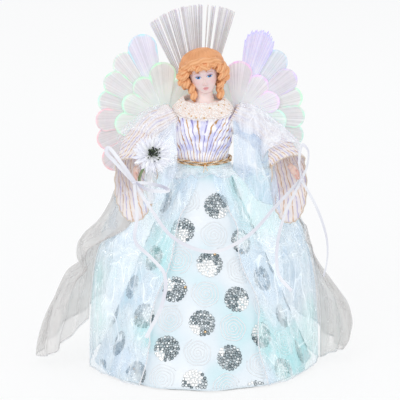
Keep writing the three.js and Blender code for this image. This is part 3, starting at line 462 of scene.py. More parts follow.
def moulded(name, base, rubbed, rough, grit, more):
    """An even colour with rubbed patches and a fine grit, in millimetres."""
    material, tree, shader = begin(name)
    where = add(tree, "TexCoord", give="Object")
    patches = add(tree, "TexNoise", {"Vector": where, "Scale": 1 / (20 * MM), "Detail": 4.0})
    texture = add(tree, "TexNoise", {"Vector": where, "Scale": 1 / (grit * MM)})
    feed(tree, shader, {
        "Base Color": add(tree, "ValToRGB", {"Fac": patches}, [(0.35, base), (0.75, rubbed)]),
        "Roughness": add(tree, "MapRange", {"Value": patches, "To Min": rough - 0.08, "To Max": rough + 0.1}),
        "Normal": add(tree, "Bump", {"Height": texture, "Strength": 0.25, "Distance": 0.2 * MM}),
        **more,
    })
    return material


SATIN = satin_skirt()
# Metallised film discs, punched and cupped: mirror glints that differ from disc to disc
PAILLETTE = shaded("silver_film_paillettes", 0.2, 2.0, metal=0.85)
# Couched rayon cord: a low white relief with a thread's soft sheen
SOUTACHE = shaded("rayon_soutache_thread", 0.5, 0.8, 0.2, more={"Sheen Weight": 0.3})
# Moulded beads under pearl lacquer: a small sharp highlight on each
PEARL = shaded("moulded_pearl_beads", 0.22, 1.0, more={"Coat Weight": 0.4})
# Organza in several weights, from the grey stiffened tails to the single left shawl
ORGANZA = organza("nylon_organza", ("#C6E0F7", "#E2F1FA", "#BDF0EF"), "#F4FAFC", 0.17, 0.34, 1.0, 0.15)
STIFF_ORGANZA = organza(
    "stiffened_organza", ("#C8C2BE", "#D0CAC6", "#CCC6C2"), "#E6E2DF", 0.12, 0.4, 0.5, 0.04
)
VEIL_HUES = ("#E4E9F5", "#ECEEF5", "#F0ECF5")
# The right shawl is bunched double over the arm, the left one lies single
VEILS = {
    "left": organza("soft_organza", VEIL_HUES, "#F7F9FB", 0.06, 0.3, 0.9, 0.09),
    "right": organza("soft_organza_double", VEIL_HUES, "#F7F9FB", 0.24, 0.6, 1.0, 0.09),
}
# Of the loose ends the left one is paler, with more painted glow
GATHERED_ORGANZA = {
    "left": organza(
        "gathered_organza_pale", ("#C6DCF6", "#DAE8F8", "#D2EEF4"), "#F2F6FB", 0.2, 0.5, 1.0, 0.12
    ),
    "right": organza("gathered_organza", ("#A9CCF2", "#CADFF5", "#BDE6EE"), "#EAF2FA", 0.22, 0.56, 1.0, 0.05),
}
# The bodice is drawn tight, so its stripes show full; the sleeves' crinkle breaks theirs up
# The two also differ in painted lilac shade, heavier on the bodice, and in painted glow, a little stronger on
# the sleeves
STRIPED = striped_cloth("striped_polyester_lurex", "#FBF8FB", 0.7, 0.1, 1.0)
SLEEVE_STRIPED = striped_cloth("striped_polyester_lurex_sleeve", "#EEE6E2", 0.22, 0.13, 0.7)
# Twisted metal thread: warm glints over a dull gold
GOLD_THREAD = shaded("gold_lurex_braid", 0.36, 0.7, 0.25, metal=0.5)
# Cotton lace sewn with beads: chalky cream; the light that comes through it a little is painted as a faint
# glow all over
LACE = shaded("beaded_cotton_lace", 0.6, 0.7, 0.25, more={
    "Sheen Weight": 0.2, "Emission Color": linear("#FFF1EA"), "Emission Strength": 0.05,
})
# Cast resin under matt paint: even, faintly waxy skin
SKIN = shaded("painted_cast_resin", 0.46, 1.6, 0.02, more={
    "Subsurface Weight": 0.08, "Subsurface Scale": 2 * MM,
})
# The same casting painted as hair: matt orange, with painted shade in its grooves and a painted highlight on
# its crests
HAIR = shaded("painted_resin_hair", 0.5, 0.9, 0.12)
# Marabou down: soft white, brighter at its edges, with a faint painted glow all over
FEATHER = shaded("marabou_feather", 0.75, 0.6, 0.15, more={
    "Sheen Weight": 0.5, "Emission Color": linear("#F6F8FF"), "Emission Strength": 0.14,
})
# Dyed paper knobs: dark and dull
STAMEN = shaded("dyed_paper_stamens", 0.5, 0.5, 0.1)
# Satin ribbon, woven on one face: long soft highlights where it turns
RIBBON = shaded("single_face_satin_ribbon", 0.34, 0.8, 0.06, more={"Sheen Weight": 0.3})
FIBRE = optical_fibre()
# Moulded polypropylene: waxy off-white
HUB_PLASTIC = shaded("moulded_polypropylene_bead", 0.45, 0.6, 0.05)
# Zinc-plated steel: a greyish shine
SCREW = shaded("zinc_plated_screw", 0.34, 0.7, 0.05, metal=0.9)


# Camera, light and floor, in metres and degrees

CAMERA_DISTANCE = 2.4
CAMERA_AZIMUTH = -5.0
CAMERA_ELEVATION = 13.7
AIM = Vector((-0.0027, 0.0, 0.1516))
FRAME_WIDTH = 0.3635
SENSOR_WIDTH = 36.0
# Each lamp's place, size and power in watts
LAMPS = {
    "key": ((-0.9, -1.3, 1.3), 1.0, 7.0),
    "fill": ((1.2, -1.0, 0.7), 1.2, 2.6),
    "rim": ((0.3, 1.3, 1.2), 0.9, 1.9),
}
SOFT_LIGHT_STRENGTH = 0.82
FLOOR_REACH = 8.0
FLOOR_DROP = 0.0003
FLOOR_WHITE_SHARE = 0.8
WHITE = linear("#FFFFFF")


def aim(thing, place):
    """Puts a lamp or the camera at a place and turns it to the middle of the object."""
    thing.location = place
    thing.rotation_euler = (AIM - Vector(place)).to_track_quat("-Z", "Y").to_euler()
    bpy.context.scene.collection.objects.link(thing)


def set_camera():
    turn, rise = math.radians(CAMERA_AZIMUTH), math.radians(CAMERA_ELEVATION)
    back = Vector((math.sin(turn) * math.cos(rise), -math.cos(turn) * math.cos(rise), math.sin(rise)))
    lens = bpy.data.cameras.new("camera")
    lens.sensor_width = SENSOR_WIDTH
    lens.lens = SENSOR_WIDTH * CAMERA_DISTANCE / FRAME_WIDTH
    camera = bpy.data.objects.new("camera", lens)
    aim(camera, AIM + back * CAMERA_DISTANCE)
    bpy.context.scene.camera = camera


def seen_directly(tree):
    """1 for what the camera sees, also in metal and through glass, and 0 for what only lights the object."""
    seen = add(tree, "LightPath", give="Is Camera Ray")
    for ray in ("Is Glossy Ray", "Is Transmission Ray"):
        seen = add(tree, "Math", {0: seen, 1: add(tree, "LightPath", give=ray)}, operation="MAXIMUM")
    return seen


def light_the_stage():
    scene = bpy.context.scene
    scene.view_settings.view_transform = "Standard"
    world = bpy.data.worlds.new("studio")
    scene.world = world
    world.use_nodes = True
    tree = world.node_tree
    tree.nodes.clear()
    soft = add(tree, "Background", {"Color": linear("#F4F7FB"), "Strength": SOFT_LIGHT_STRENGTH})
    white = add(tree, "Background", {"Color": WHITE, "Strength": 1.0})
    both = add(tree, "MixShader", {0: seen_directly(tree), 1: soft, 2: white})
    add(tree, "OutputWorld", {"Surface": both})
    for name, (place, size, power) in LAMPS.items():
        lamp = bpy.data.lights.new(name, "AREA")
        lamp.size, lamp.energy = size, power
        aim(bpy.data.objects.new(name, lamp), place)


def lay_floor():
    """Matt white board: it reads nearly white to the camera and keeps the object's shadow."""
    material, tree, shader = begin("pale_studio_floor")
    feed(tree, shader, {"Base Color": linear("#FAFAFA"), "Roughness": 0.9})
    share = add(tree, "Math", {0: seen_directly(tree), 1: FLOOR_WHITE_SHARE}, operation="MULTIPLY")
    white = add(tree, "Emission", {"Color": WHITE, "Strength": 1.0})
    both = add(tree, "MixShader", {0: share, 1: shader.outputs[0], 2: white})
    feed(tree, tree.nodes["Material Output"], {"Surface": both})
    mesh = bpy.data.meshes.new("floor")
    corners = [(x * FLOOR_REACH, y * FLOOR_REACH, 0) for x, y in ((-1, -1), (1, -1), (1, 1), (-1, 1))]
    mesh.from_pydata(corners, [], [(0, 1, 2, 3)])
    mesh.materials.append(material)
    floor = bpy.data.objects.new("floor", mesh)
    floor.location.z = -FLOOR_DROP
    bpy.context.scene.collection.objects.link(floor)


# Ribbons: the routes are the part's own

SIDES = {"left": -1, "right": 1}
TIE_LEFT = [(-65.507, -50.539, 180.853), (-65.655, -51.258, 180.332)]
TIE_RIGHT = [(84.003, -42.284, 178.986), (84.424, -42.892, 178.472), (84.844, -43.499, 177.958)]
RIBBON_WIDTH, RIBBON_THICKNESS = 3.2, 0.4
RIBBONS = {
    "ribbon_swag": [
        TIE_LEFT[0], (-52, -62, 160), (-32, -67, 134), (2, -69, 121), (34, -66, 134), (60, -56, 158),
        TIE_RIGHT[0],
    ],
    "ribbon_left": [
        TIE_LEFT[1], (-64, -62, 152), (-66, -68, 132), (-52, -76, 118), (-41, -80, 104), (-43, -84, 80),
        (-58, -85, 48),
    ],
    "ribbon_right": [TIE_RIGHT[1], (68, -60, 152), (60, -69, 124), (61, -76, 100), (72, -79, 86)],
    "ribbon_outer": [TIE_RIGHT[2], (98, -46, 154), (108, -42, 124), (109, -40, 104), (106, -40, 88)],
}
BOW_LOOPS_LEFT = [
    [(-79, -50, 196), (-90, -46, 209), (-88, -45, 212), (-76, -51, 198)],
    [(-55, -58, 182), (-40, -62, 179), (-36, -62, 176), (-52, -60, 176)],
]
BOW_LOOPS_RIGHT = [[(89, -46, 192), (90, -44, 206), (85, -44, 211), (82, -46, 196)]]
BOW_TWIST = 0.5
KNOT_RADII = (2.3, 2.0, 1.9)
# Spans between two stops: of the routes, of the ribbons drawn along them, and of a bow's loops
ROUTE_STEPS, RIBBON_STEPS, LOOP_STEPS = 6, 15, 14
# The ribbon's own colour, painted shade for where its face turns down, and a painted sheen
RIBBON_FACE, RIBBON_PAINTED_SHADE, RIBBON_PAINTED_SHEEN = linear("#E9E8F0"), linear("#C9C8D8"), linear("#F4F4F8")
# Corners of a ribbon's section, in halves of its width and of its thickness
RIBBON_SECTION = ((-1, -1), (0, -1), (1, -1), (1, 1), (0, 1), (-1, 1))


def band(line, outward, twist=0.0):
    """A flat ribbon along a line, its face turned outward, closed all round; and its shades, with painted
    shade where its face turns down and a painted sheen along it.
    """
    points, shades = [], []
    count, corners = len(line), len(RIBBON_SECTION)
    for i, middle in enumerate(line):
        way = (line[min(i + 1, count - 1)] - line[max(i - 1, 0)]).normalized()
        face = outward(middle)
        face = (face - way * face.dot(way)).normalized()
        if twist:
            face = Matrix.Rotation(twist * math.sin(i / count * 5.0), 3, way) @ face
        side = way.cross(face)
        for across, depth in RIBBON_SECTION:
            points.append(middle + side * across * RIBBON_WIDTH / 2 + face * depth * RIBBON_THICKNESS / 2)
        # Where the face turns down it is painted in shade, and a painted sheen comes and goes along the
        # ribbon
        lit_or_shaded = RIBBON_PAINTED_SHADE if face.z < -0.1 else RIBBON_FACE
        shades += [mix(lit_or_shaded, RIBBON_PAINTED_SHEEN, swing(i * 0.16))] * corners
    return (points, ring_faces(count, corners)), shades


def bow(name, knot, loops):
    """Loops of the same ribbon, drawn through one knot at the fingers."""
    knot = Vector(knot)
    heap = Heap()
    for loop in loops:
        line = smooth_line([knot, *loop, knot + Vector((0.6, -0.8, 0.3))], LOOP_STEPS)
        heap.put(*band(line, lambda p: Vector((p.x * 0.3, p.y, 12)).normalized(), BOW_TWIST))
    heap.put(ball(knot + Vector((0, -0.6, 0.4)), KNOT_RADII, 12), RIBBON_FACE)
    return piece(name, heap, RIBBON, smooth=False)


def tie_ribbons():
    bows = {
        "ribbon_swag": bow("bow_left", TIE_LEFT[0], BOW_LOOPS_LEFT),
        "ribbon_right": bow("bow_right", TIE_RIGHT[1], BOW_LOOPS_RIGHT),
    }
    for name, stops in RIBBONS.items():
        line = smooth_line(stops, ROUTE_STEPS)
        heap = Heap()
        drawn = smooth_line(stops, RIBBON_STEPS)
        heap.put(*band(drawn, lambda p: Vector((p.x * 0.6, p.y, 0)).normalized()))
        thing = piece(name, heap, RIBBON, [name], smooth=False)
        [c * MM for c in stops[0]]
        sum((b - a).length for a, b in zip(line, line[1:])) * MM


# Underskirt

CONE_BASE, CONE_TOP, CONE_HEIGHT = 95.0, 20.0, 186.0
CONE_SLANT = math.atan((CONE_BASE - CONE_TOP) / CONE_HEIGHT)
CONE_APEX = CONE_HEIGHT * CONE_BASE / (CONE_BASE - CONE_TOP)
SKIRT_TOP, HEM = 184.4, 1.5
SATIN_COLUMNS, SATIN_ROWS = 288, 90
SATIN_THICKNESS = 0.5
SATIN_STAND, SATIN_FOLDS, SATIN_FOLD_DEPTH = 1.0, 12, 4.0
SATIN_CREASE, SATIN_CREASE_SIZE = 0.35, 26
HEM_CORD_RADIUS = 0.75
# The cloth's pattern: sequin rounds and spiral rosettes take turns on a lattice of the flat cut
LATTICE_START = Vector((1.2, 140.0))
LATTICE_ACROSS = Vector((27.6, 5.3))
LATTICE_DOWN = Vector((-4.2, 26.2))
LATTICE_COLUMNS, LATTICE_ROWS = range(-14, 15), range(-9, 13)
PATTERN_LOWEST, PATTERN_HIGHEST, PATTERN_HALF_ANGLE = -6, 172, math.radians(174)
ROUND_RADIUS = 11.6
# Each ring of a round: its radius and its number of sequins
ROUND_RINGS = [(0, 1), (2.8, 6), (5.4, 12), (7.9, 17), (10.1, 21)]
SEQUIN_RADIUS, SEQUIN_SIDES, SEQUIN_STAND, SEQUIN_HIGHEST = 1.6, 8, 0.55, 176
# A sequin's rim and shoulder, as radius and lift, then its heart's lift
SEQUIN_CUP, SEQUIN_HEART = ((SEQUIN_RADIUS, 0.0), (0.8, 0.34)), 0.22
FILM_GLINT, FILM_GLINT_RIM, FILM_GOLD = linear("#F2F3F3"), linear("#E2E4E3"), linear("#CDB08A")
# Away from the glint each disc's middle runs from dark to pale and its rim is darker still: painted
# reflection, and painted shade at the rim
FILM_DARK, FILM_PALE = linear("#77848A"), linear("#E6ECEE")
FILM_RIM_DARK, FILM_RIM_PALE = linear("#1C262B"), linear("#566269")
FILM_GOLD_SHARE = 0.012
ROSETTE_TURNS, ROSETTE_SPACING, ROSETTE_STEPS, ROSETTE_HIGHEST = 4.6, 2.65, 26, 180
SOUTACHE_RADIUS, SOUTACHE_STAND = 0.58, 0.45
SOUTACHE_SHADE = linear("#F4F7F9")


def cone_radius(z):
    return mix(CONE_BASE, CONE_TOP, z / CONE_HEIGHT)


def fold_fade(z):
    """Folds are deepest at the hem and gone at the waist."""
    return max(0.0, 1 - z / CONE_HEIGHT) ** 1.5


def underskirt_point(angle, z, proud=0.0):
    fold = SATIN_FOLD_DEPTH * fold_fade(z) * (0.5 + 0.5 * math.cos(SATIN_FOLDS * angle))
    return around(angle, cone_radius(z) + SATIN_STAND + fold + proud, z)


def on_cut_cloth(x, y):
    """Angle and height on the skirt of a point of the flat cut, which is measured from the cone's apex."""
    return math.atan2(x, y) / math.sin(CONE_SLANT), CONE_APEX - math.hypot(x, y) * math.cos(CONE_SLANT)


def lattice():
    """Middles of the pattern's figures on the flat cut, and whether each is a round."""
    for i in LATTICE_COLUMNS:
        for j in LATTICE_ROWS:
            middle = LATTICE_START + LATTICE_ACROSS * i + LATTICE_DOWN * j
            angle, z = on_cut_cloth(*middle)
            if PATTERN_LOWEST < z < PATTERN_HIGHEST and abs(angle) < PATTERN_HALF_ANGLE:
                yield middle, (i + j) % 2 == 0


def skirt_spot(x, y, proud):
    angle, z = on_cut_cloth(x, y)
    return underskirt_point(angle, z, proud), z, angle


def sequin(heap, x, y, tip, shade, rim):
    """A cupped film disc sewn flat on the cloth, a little tipped."""
    middle, z, angle = skirt_spot(x, y, SEQUIN_STAND)
    if z < HEM + SEQUIN_RADIUS or z > SEQUIN_HIGHEST:
        return
    out = around(angle, math.cos(CONE_SLANT), math.sin(CONE_SLANT))
    out = (out + Vector(tip)).normalized()
    side = out.orthogonal().normalized()
    up = out.cross(side)
    points = []
    for radius, lift in SEQUIN_CUP:
        for k in range(SEQUIN_SIDES):
            turn = math.tau * k / SEQUIN_SIDES
            points.append(middle + (side * math.cos(turn) + up * math.sin(turn)) * radius + out * lift)
    points.append(middle + out * SEQUIN_HEART)
    heart = len(points) - 1
    shoulder = [SEQUIN_SIDES + k for k in range(SEQUIN_SIDES)]
    faces = grid_faces(SEQUIN_SIDES, 1, closed=True)
    faces += [(a, b, heart) for a, b in zip(shoulder, shoulder[1:] + shoulder[:1])]
    heap.put((points, faces), [rim] * SEQUIN_SIDES + [shade] * (SEQUIN_SIDES + 1))


def sequin_round(heap, middle):
    """Sequins in rings; those on one side throw the light straight back."""
    bright_side = Vector((dice.uniform(-1, 1), dice.uniform(-1, 1))) * ROUND_RADIUS * 0.7
    bright_reach = dice.uniform(4.0, 9.0)
    for radius, count in ROUND_RINGS:
        for k in range(count):
            turn = math.tau * (k + 0.5 * (count % 4)) / count + dice.uniform(-0.05, 0.05)
            spot = Vector((math.cos(turn), math.sin(turn))) * (radius + dice.uniform(-0.3, 0.3))
            tip = [dice.uniform(-0.16, 0.16) for _ in range(3)]
            if (spot - bright_side).length < bright_reach:
                shade, rim = FILM_GLINT, FILM_GLINT_RIM
            else:
                # Painted reflection: dark to pale at random, with a rim painted darker as shade
                shade = mix(FILM_DARK, FILM_PALE, dice.random() ** 1.4)
                rim = mix(FILM_RIM_DARK, FILM_RIM_PALE, dice.random())
                if dice.random() < FILM_GOLD_SHARE:
                    shade = FILM_GOLD
            sequin(heap, *(middle + spot), tip, shade, rim)


def rosette(heap, middle):
    """A spiral of couched cord, from its heart outward, broken off at the cloth's edges."""
    start = dice.uniform(0, 6.28)
    runs = [[]]
    for k in range(int(ROSETTE_TURNS * ROSETTE_STEPS) + 1):
        turn = math.tau * k / ROSETTE_STEPS
        radius = 0.5 + ROSETTE_SPACING * turn / math.tau
        radius *= 1 + 0.035 * math.sin(5 * turn + start)
        x, y = middle.x + radius * math.cos(turn + start), middle.y + radius * math.sin(turn + start)
        point, z, _ = skirt_spot(x, y, SOUTACHE_STAND)
        if HEM + 1 <= z <= ROSETTE_HIGHEST:
            runs[-1].append(point)
        else:
            runs.append([])
    for run in runs:
        if len(run) > 3:
            heap.put(tube(run, SOUTACHE_RADIUS, 5), SOUTACHE_SHADE)


def make_underskirt():
    def place(u, v):
        angle = math.tau * u
        z = mix(HEM, SKIRT_TOP, v)
        crease = drift(math.sin(angle) * 90, math.cos(angle) * 90, z, SATIN_CREASE_SIZE)
        return underskirt_point(angle, z, SATIN_CREASE * max(0.0, crease))

    cloth = sheet(place, SATIN_COLUMNS, SATIN_ROWS, closed=True)
    skirt = piece("underskirt", cloth, SATIN, ["underskirt"])
    hem, sequins, cords = Heap(), Heap(), Heap()
    hem_line = [underskirt_point(math.tau * i / SATIN_COLUMNS, HEM + 0.5) for i in range(SATIN_COLUMNS)]
    hem.put(tube(hem_line, HEM_CORD_RADIUS, 6, closed=True), linear("#E9F2F7"))
    for middle, is_round in lattice():
        if is_round:
            sequin_round(sequins, middle)
        else:
            rosette(cords, middle)
    sewn_on = [
        piece("underskirt_hem", hem, SOUTACHE),
        piece("sequin_rounds", sequins, PAILLETTE, smooth=False),
        piece("spiral_rosettes", cords, SOUTACHE),
    ]
    # The cut is a sector of a ring: 0.48 m wide and 0.25 m long
    thicken(skirt, SATIN_THICKNESS)


# Overskirt and tails

ORGANZA_THICKNESS = 0.3
OVERSKIRT_COLUMNS, OVERSKIRT_ROWS = 220, 72
OVERSKIRT_HEM, OVERSKIRT_STAND, OVERSKIRT_PUFF = 3.0, 2.9, 42.0
# The front opening's half angle, and how far each side closes at the waist
OPENING, OPENING_CLOSES = math.radians(38), math.radians(25)
PEARL_SHADE = linear("#F1EFF0")
EDGE_PEARL_RADIUS, EDGE_PEARL_SPACING = 0.85, 4.6
HEM_PEARL_RADIUS, HEM_PEARL_SPACING = 0.8, 9.0
EDGE_CORD_RADIUS = 0.5
# Steps along a front edge, how many of them are trimmed, and steps along the hem
EDGE_STEPS, EDGE_TRIMMED, HEM_STEPS = 90, 76, 300
# Heights of each tail's top, tip, back corner and front edge; then its flare, curl, neck, tie and ruffle
TAILS = {
    "left": {
        "top": 148.8, "tip": 7.0, "corner": 48.0, "front": 46.0, "flare": 42.0, "curl": 0.5, "neck": 0.2,
        "tied": 0.55, "ruffle": 7.0,
    },
    "right": {
        "top": 104.16, "tip": 7.0, "corner": 34.0, "front": 4.0, "flare": 30.0, "curl": 0.75, "neck": 0.32,
        "tied": 0.72, "ruffle": 0.0,
    },
}
TAIL_COLUMNS, TAIL_ROWS = 96, 72
TAIL_STAND, TAIL_FRONT, TAIL_BACK = 2.6, 78, 128
TIP_ACROSS, TURNED_IN = 0.35, 0.4
TAIL_WIRE_RADIUS, TAIL_EDGE_STEPS, TAIL_SIDE_STEPS = 0.6, 48, 40


def overskirt_radius(angle, z):
    """The overskirt's plain form: it puffs out at the sides, under the sleeves."""
    rise = z / CONE_HEIGHT
    turn = abs(angle)
    # Below the sleeves the sides puff out sooner
    sooner = math.radians(22) * (1 - ease(z, 98, 132))
    sides = ease(turn, math.radians(65) - sooner, math.radians(95) - sooner)
    sides *= 1 - ease(turn, math.radians(120), math.radians(165))
    fullness = math.sin(min(1.0, rise / 0.8) * math.pi / 2) * (1 - ease(rise, 0.84, 1.0))
    fold = 3.0 * (0.3 + 0.7 * fold_fade(z)) * (0.5 + 0.5 * math.cos(9 * angle))
    return cone_radius(z) + OVERSKIRT_STAND + 4.0 * fold_fade(z) + OVERSKIRT_PUFF * sides * fullness + fold


def overskirt_surface(angle, z):
    """The overskirt's radius with its gathers and hanging folds."""
    gather = 1.5 * (0.25 + 0.75 * ease(z, 90, 170)) * swing(40 * angle + 3 * drift(angle * 7, z / 60, 2, 1))
    fall = 3.4 * max(0.0, drift(angle * 9, z / 90, 5, 1)) + 1.2 * max(0.0, drift(angle * 26, z / 40, 9, 1))
    return overskirt_radius(angle, z) + gather + fall


def overskirt_point(u, v):
    z = mix(OVERSKIRT_HEM, SKIRT_TOP, v)
    closing = OPENING_CLOSES * ease(v, 0.7, 1.0)
    wave = math.radians(4) * math.sin(math.pi * v)
    start = OPENING - math.radians(9) * (1 - v) - closing - wave * math.sin(13 * v)
    end = math.tau - OPENING + closing + wave * math.sin(11 * v + 1)
    turn = mix(start, end, u)
    angle = turn - math.tau if turn > math.pi else turn
    return around(angle, overskirt_surface(angle, z), z)


def pearls_along(heap, line, spacing, radius, shade):
    """Beads sewn along a line at an even spacing."""
    left = spacing / 2
    for a, b in zip(line, line[1:]):
        span = (b - a).length
        while left < span:
            heap.put(ball(a.lerp(b, left / span), radius, 8), shade)
            left += spacing
        left -= span


def make_overskirt():
    cloth = sheet(overskirt_point, OVERSKIRT_COLUMNS, OVERSKIRT_ROWS)
    skirt = piece("overskirt", cloth, ORGANZA, ["overskirt"])
    trim = Heap()
    for u in (0.0, 1.0):
        edge = [overskirt_point(u, k / EDGE_STEPS) for k in range(EDGE_TRIMMED)]
        pearls_along(trim, edge, EDGE_PEARL_SPACING, EDGE_PEARL_RADIUS, PEARL_SHADE)
        trim.put(tube(edge, EDGE_CORD_RADIUS, 5), linear("#F3F3F6"))
    hem = [overskirt_point(k / HEM_STEPS, 0.0) for k in range(HEM_STEPS + 1)]
    trim.put(tube(hem, EDGE_CORD_RADIUS, 5), linear("#EEF2F6"))
    pearls_along(trim, hem, HEM_PEARL_SPACING, HEM_PEARL_RADIUS, PEARL_SHADE)
    trim_piece = piece("overskirt_trim", trim, PEARL)
    thicken(skirt, ORGANZA_THICKNESS)


def tail_fold(u, v):
    """How far a tail's cloth stands on the ridge of a fold, from 0 to 1; the folds fan out from the neck."""
    return swing(13 * math.pi * u + 2.4 * drift(u * 4, v * 3, 3, 1))


def tail_point(tail, side, u, v):
    """A wired tail: gathered at its neck, flared at its tip, its front edge turned in."""
    across, down = mix(-TURNED_IN, 1.0, u), mix(-tail["neck"], 1.0, v)
    pinch = 0.82 * ease(-down, -0.02, tail["neck"])
    across = mix(across, tail["tied"], pinch)
    inward = max(0.0, -across) / TURNED_IN
    flat = max(0.0, across)
    angle = side * math.radians(mix(TAIL_FRONT, TAIL_BACK, flat) + 5 * inward)
    off_tip = (flat - TIP_ACROSS) / (1 - TIP_ACROSS)
    low = mix(mix(tail["tip"], tail["corner"], off_tip ** 2), tail["front"], inward)
    z = mix(tail["top"], low, down)
    below = max(0.0, down)
    flare = tail["flare"] * math.sin(math.pi * tail["curl"] * below ** 1.5) * (1 - off_tip ** 2)
    fold = 4.6 * (0.2 + below) * tail_fold(u, v)
    crumple = 2.2 * below * drift(across * 50, below * 90, 11 * side, 16)
    ruffle = tail["ruffle"] * (hump(down, 0.25, 0.08) - 1.2 * hump(down, 0.42, 0.05)) * (1 - off_tip ** 2)
    gather = 1.1 * pinch * (1 + math.sin(60 * u))
    proud = max(0.0, flare + fold + crumple + ruffle) * (1 - inward)
    return around(angle, overskirt_surface(angle, z) + TAIL_STAND + gather + proud, z)


def make_tails():
    for name, tail in TAILS.items():
        node = f"tail_{name}"
        place = lambda u, v: tail_point(tail, SIDES[name], u, v)
        cloth = piece(
            node, sheet(place, TAIL_COLUMNS, TAIL_ROWS), STIFF_ORGANZA, [node],
            traits={"fold": over_sheet(tail_fold, TAIL_COLUMNS, TAIL_ROWS)},
        )
        down_front = [place(0.0, k / TAIL_SIDE_STEPS) for k in range(TAIL_SIDE_STEPS)]
        along_tip = [place(k / TAIL_EDGE_STEPS, 1.0) for k in range(TAIL_EDGE_STEPS + 1)]
        up_back = [place(1.0, 1 - k / TAIL_SIDE_STEPS) for k in range(1, TAIL_SIDE_STEPS + 1)]
        wire = Heap()
        wire.put(tube(down_front + along_tip + up_back, TAIL_WIRE_RADIUS, 5), linear("#F1EFEE"))
        wired = piece(f"{node}_wired_edge", wire, SOUTACHE)
        thicken(cloth, ORGANZA_THICKNESS)


# Bodice

WAIST, TORSO_HEIGHT = 186.3, 64.0
TORSO_HALF_WIDTH, TORSO_HALF_DEPTH = 25.5, 19.0
# Shares of the half width and half depth, from the waist up
TORSO_WIDTHS = [
    (0, 0.82), (0.16, 0.86), (0.34, 0.94), (0.53, 1), (0.69, 1), (0.8, 0.94), (0.87, 0.7), (0.92, 0.39),
    (1, 0.33),
]
TORSO_DEPTHS = [
    (0, 0.76), (0.16, 0.82), (0.34, 0.92), (0.53, 1), (0.69, 0.92), (0.8, 0.79), (0.87, 0.66), (0.92, 0.5),
    (1, 0.45),
]
TRUNK_HEIGHT, TRUNK_HOLE = 212.3, 8.7
STRIPED_THICKNESS = 0.6
BODICE_COLUMNS, BODICE_ROWS, BODICE_REPEATS = 240, 60, 18
BODICE_FOOT, BODICE_HEAD, BODICE_STAND = 0.004, 0.755, 0.95


def torso_half(rise, proud):
    """Half the torso's width and depth at a share of its height."""
    return (
        TORSO_HALF_WIDTH * along(TORSO_WIDTHS, rise) + proud,
        TORSO_HALF_DEPTH * along(TORSO_DEPTHS, rise) + proud,
    )


def torso_point(angle, rise, proud):
    return oval(angle, *torso_half(rise, proud), WAIST + TORSO_HEIGHT * rise)


def make_bodice():
    def angle_of(u):
        return math.tau * u - math.pi

    def place(u, v):
        angle = angle_of(u)
        rise = mix(BODICE_FOOT, BODICE_HEAD, v)
        full = ease(rise, 0.08, 0.35) * (1 - 0.6 * ease(rise, 0.6, 0.75))
        gather = swing(BODICE_REPEATS * 2 * angle + 2.2 * drift(angle * 9, rise * 20, 3, 4))
        crush = max(0.0, drift(math.sin(angle) * 30, math.cos(angle) * 30, rise * 40, 7))
        return torso_point(angle, rise, BODICE_STAND + full * (0.95 * gather + 0.9 * crush))

    def stripe(u, v):
        # Stripes crowd towards the middle of the waist, more on the right, where they also lean
        angle = angle_of(u)
        crowd = 1 + (1.5 if angle > 0 else 1.0) * (1 - v) * hump(angle, 0, 1.1)
        lean = 1.8 * v * ease(angle, -0.5, 0.7) * (1 - ease(angle, 1.6, 2.6))
        return BODICE_REPEATS * angle * crowd / math.tau - lean + 0.3, v * 6

    points, faces, corners = sheet(
        place, BODICE_COLUMNS, BODICE_ROWS, closed=True,
        leave_out=lambda p: p.y > 0 and math.hypot(p.x, p.z - TRUNK_HEIGHT) < TRUNK_HOLE,
    )
    bodice = piece(
        "bodice", (points, faces), STRIPED, ["bodice"],
        cloth_map=[stripe(*corner) for corner in corners],
    )
    thicken(bodice, STRIPED_THICKNESS)


# Waist

WAISTBAND_FOOT, WAISTBAND_HEAD = 182.6, 189.6
WAISTBAND_COLUMNS, WAISTBAND_ROWS, WAISTBAND_THICKNESS = 264, 10, 0.4
FLOUNCE_HALF_ANGLE = math.radians(95)
FLOUNCE_DROP, FLOUNCE_WAVE, FLOUNCE_THICKNESS = 5.5, 3.6, 0.25
# How far the flounce stands out in front and at the sides
FLOUNCE_NARROW, FLOUNCE_WIDE = 8, 25
FLOUNCE_COLUMNS, FLOUNCE_ROWS = 150, 16
ROLLED_EDGE_RADIUS = 0.28
BRAID_HEIGHT, BRAID_STEPS, BRAID_SIDES = 190.5, 420, 6
# Two cords one above the other, each of two plies that wind about it
CORD_LEVEL, PLY_RADIUS, PLY_REACH, PLY_TURNS = 1.12, 0.56, 0.52, 52
BRAID_SAG = 1.3
BRAID_ENDS, BRAID_END_RADIUS = ((-2.2, -9.6, -4.6), (1.6, -8.4, -3.8)), 0.55
BRAID_KNOT = (1.7, 1.2, 1.6)
GOLD_DARK, GOLD_PALE = linear("#C68E44"), linear("#FBEEDA")


def waistband_point(angle, v):
    """On the overskirt's gathered heading, from the skirts' top up to the braid."""
    wide, deep = torso_half(0.05, 2.3)
    gather = 0.5 * math.sin(44 * angle + 2 * drift(angle * 8, v, 4, 1)) * (1 - 0.5 * v)
    low = around(angle, cone_radius(SKIRT_TOP) + 5.0 + gather, WAISTBAND_FOOT)
    return low.lerp(oval(angle, wide + gather, deep + gather, WAISTBAND_HEAD), v)


def make_waistband():
    place = lambda u, v: waistband_point(math.tau * u, v)
    cloth = sheet(place, WAISTBAND_COLUMNS, WAISTBAND_ROWS, closed=True)
    heading = piece("waistband", cloth, SATIN)
    thicken(heading, WAISTBAND_THICKNESS)


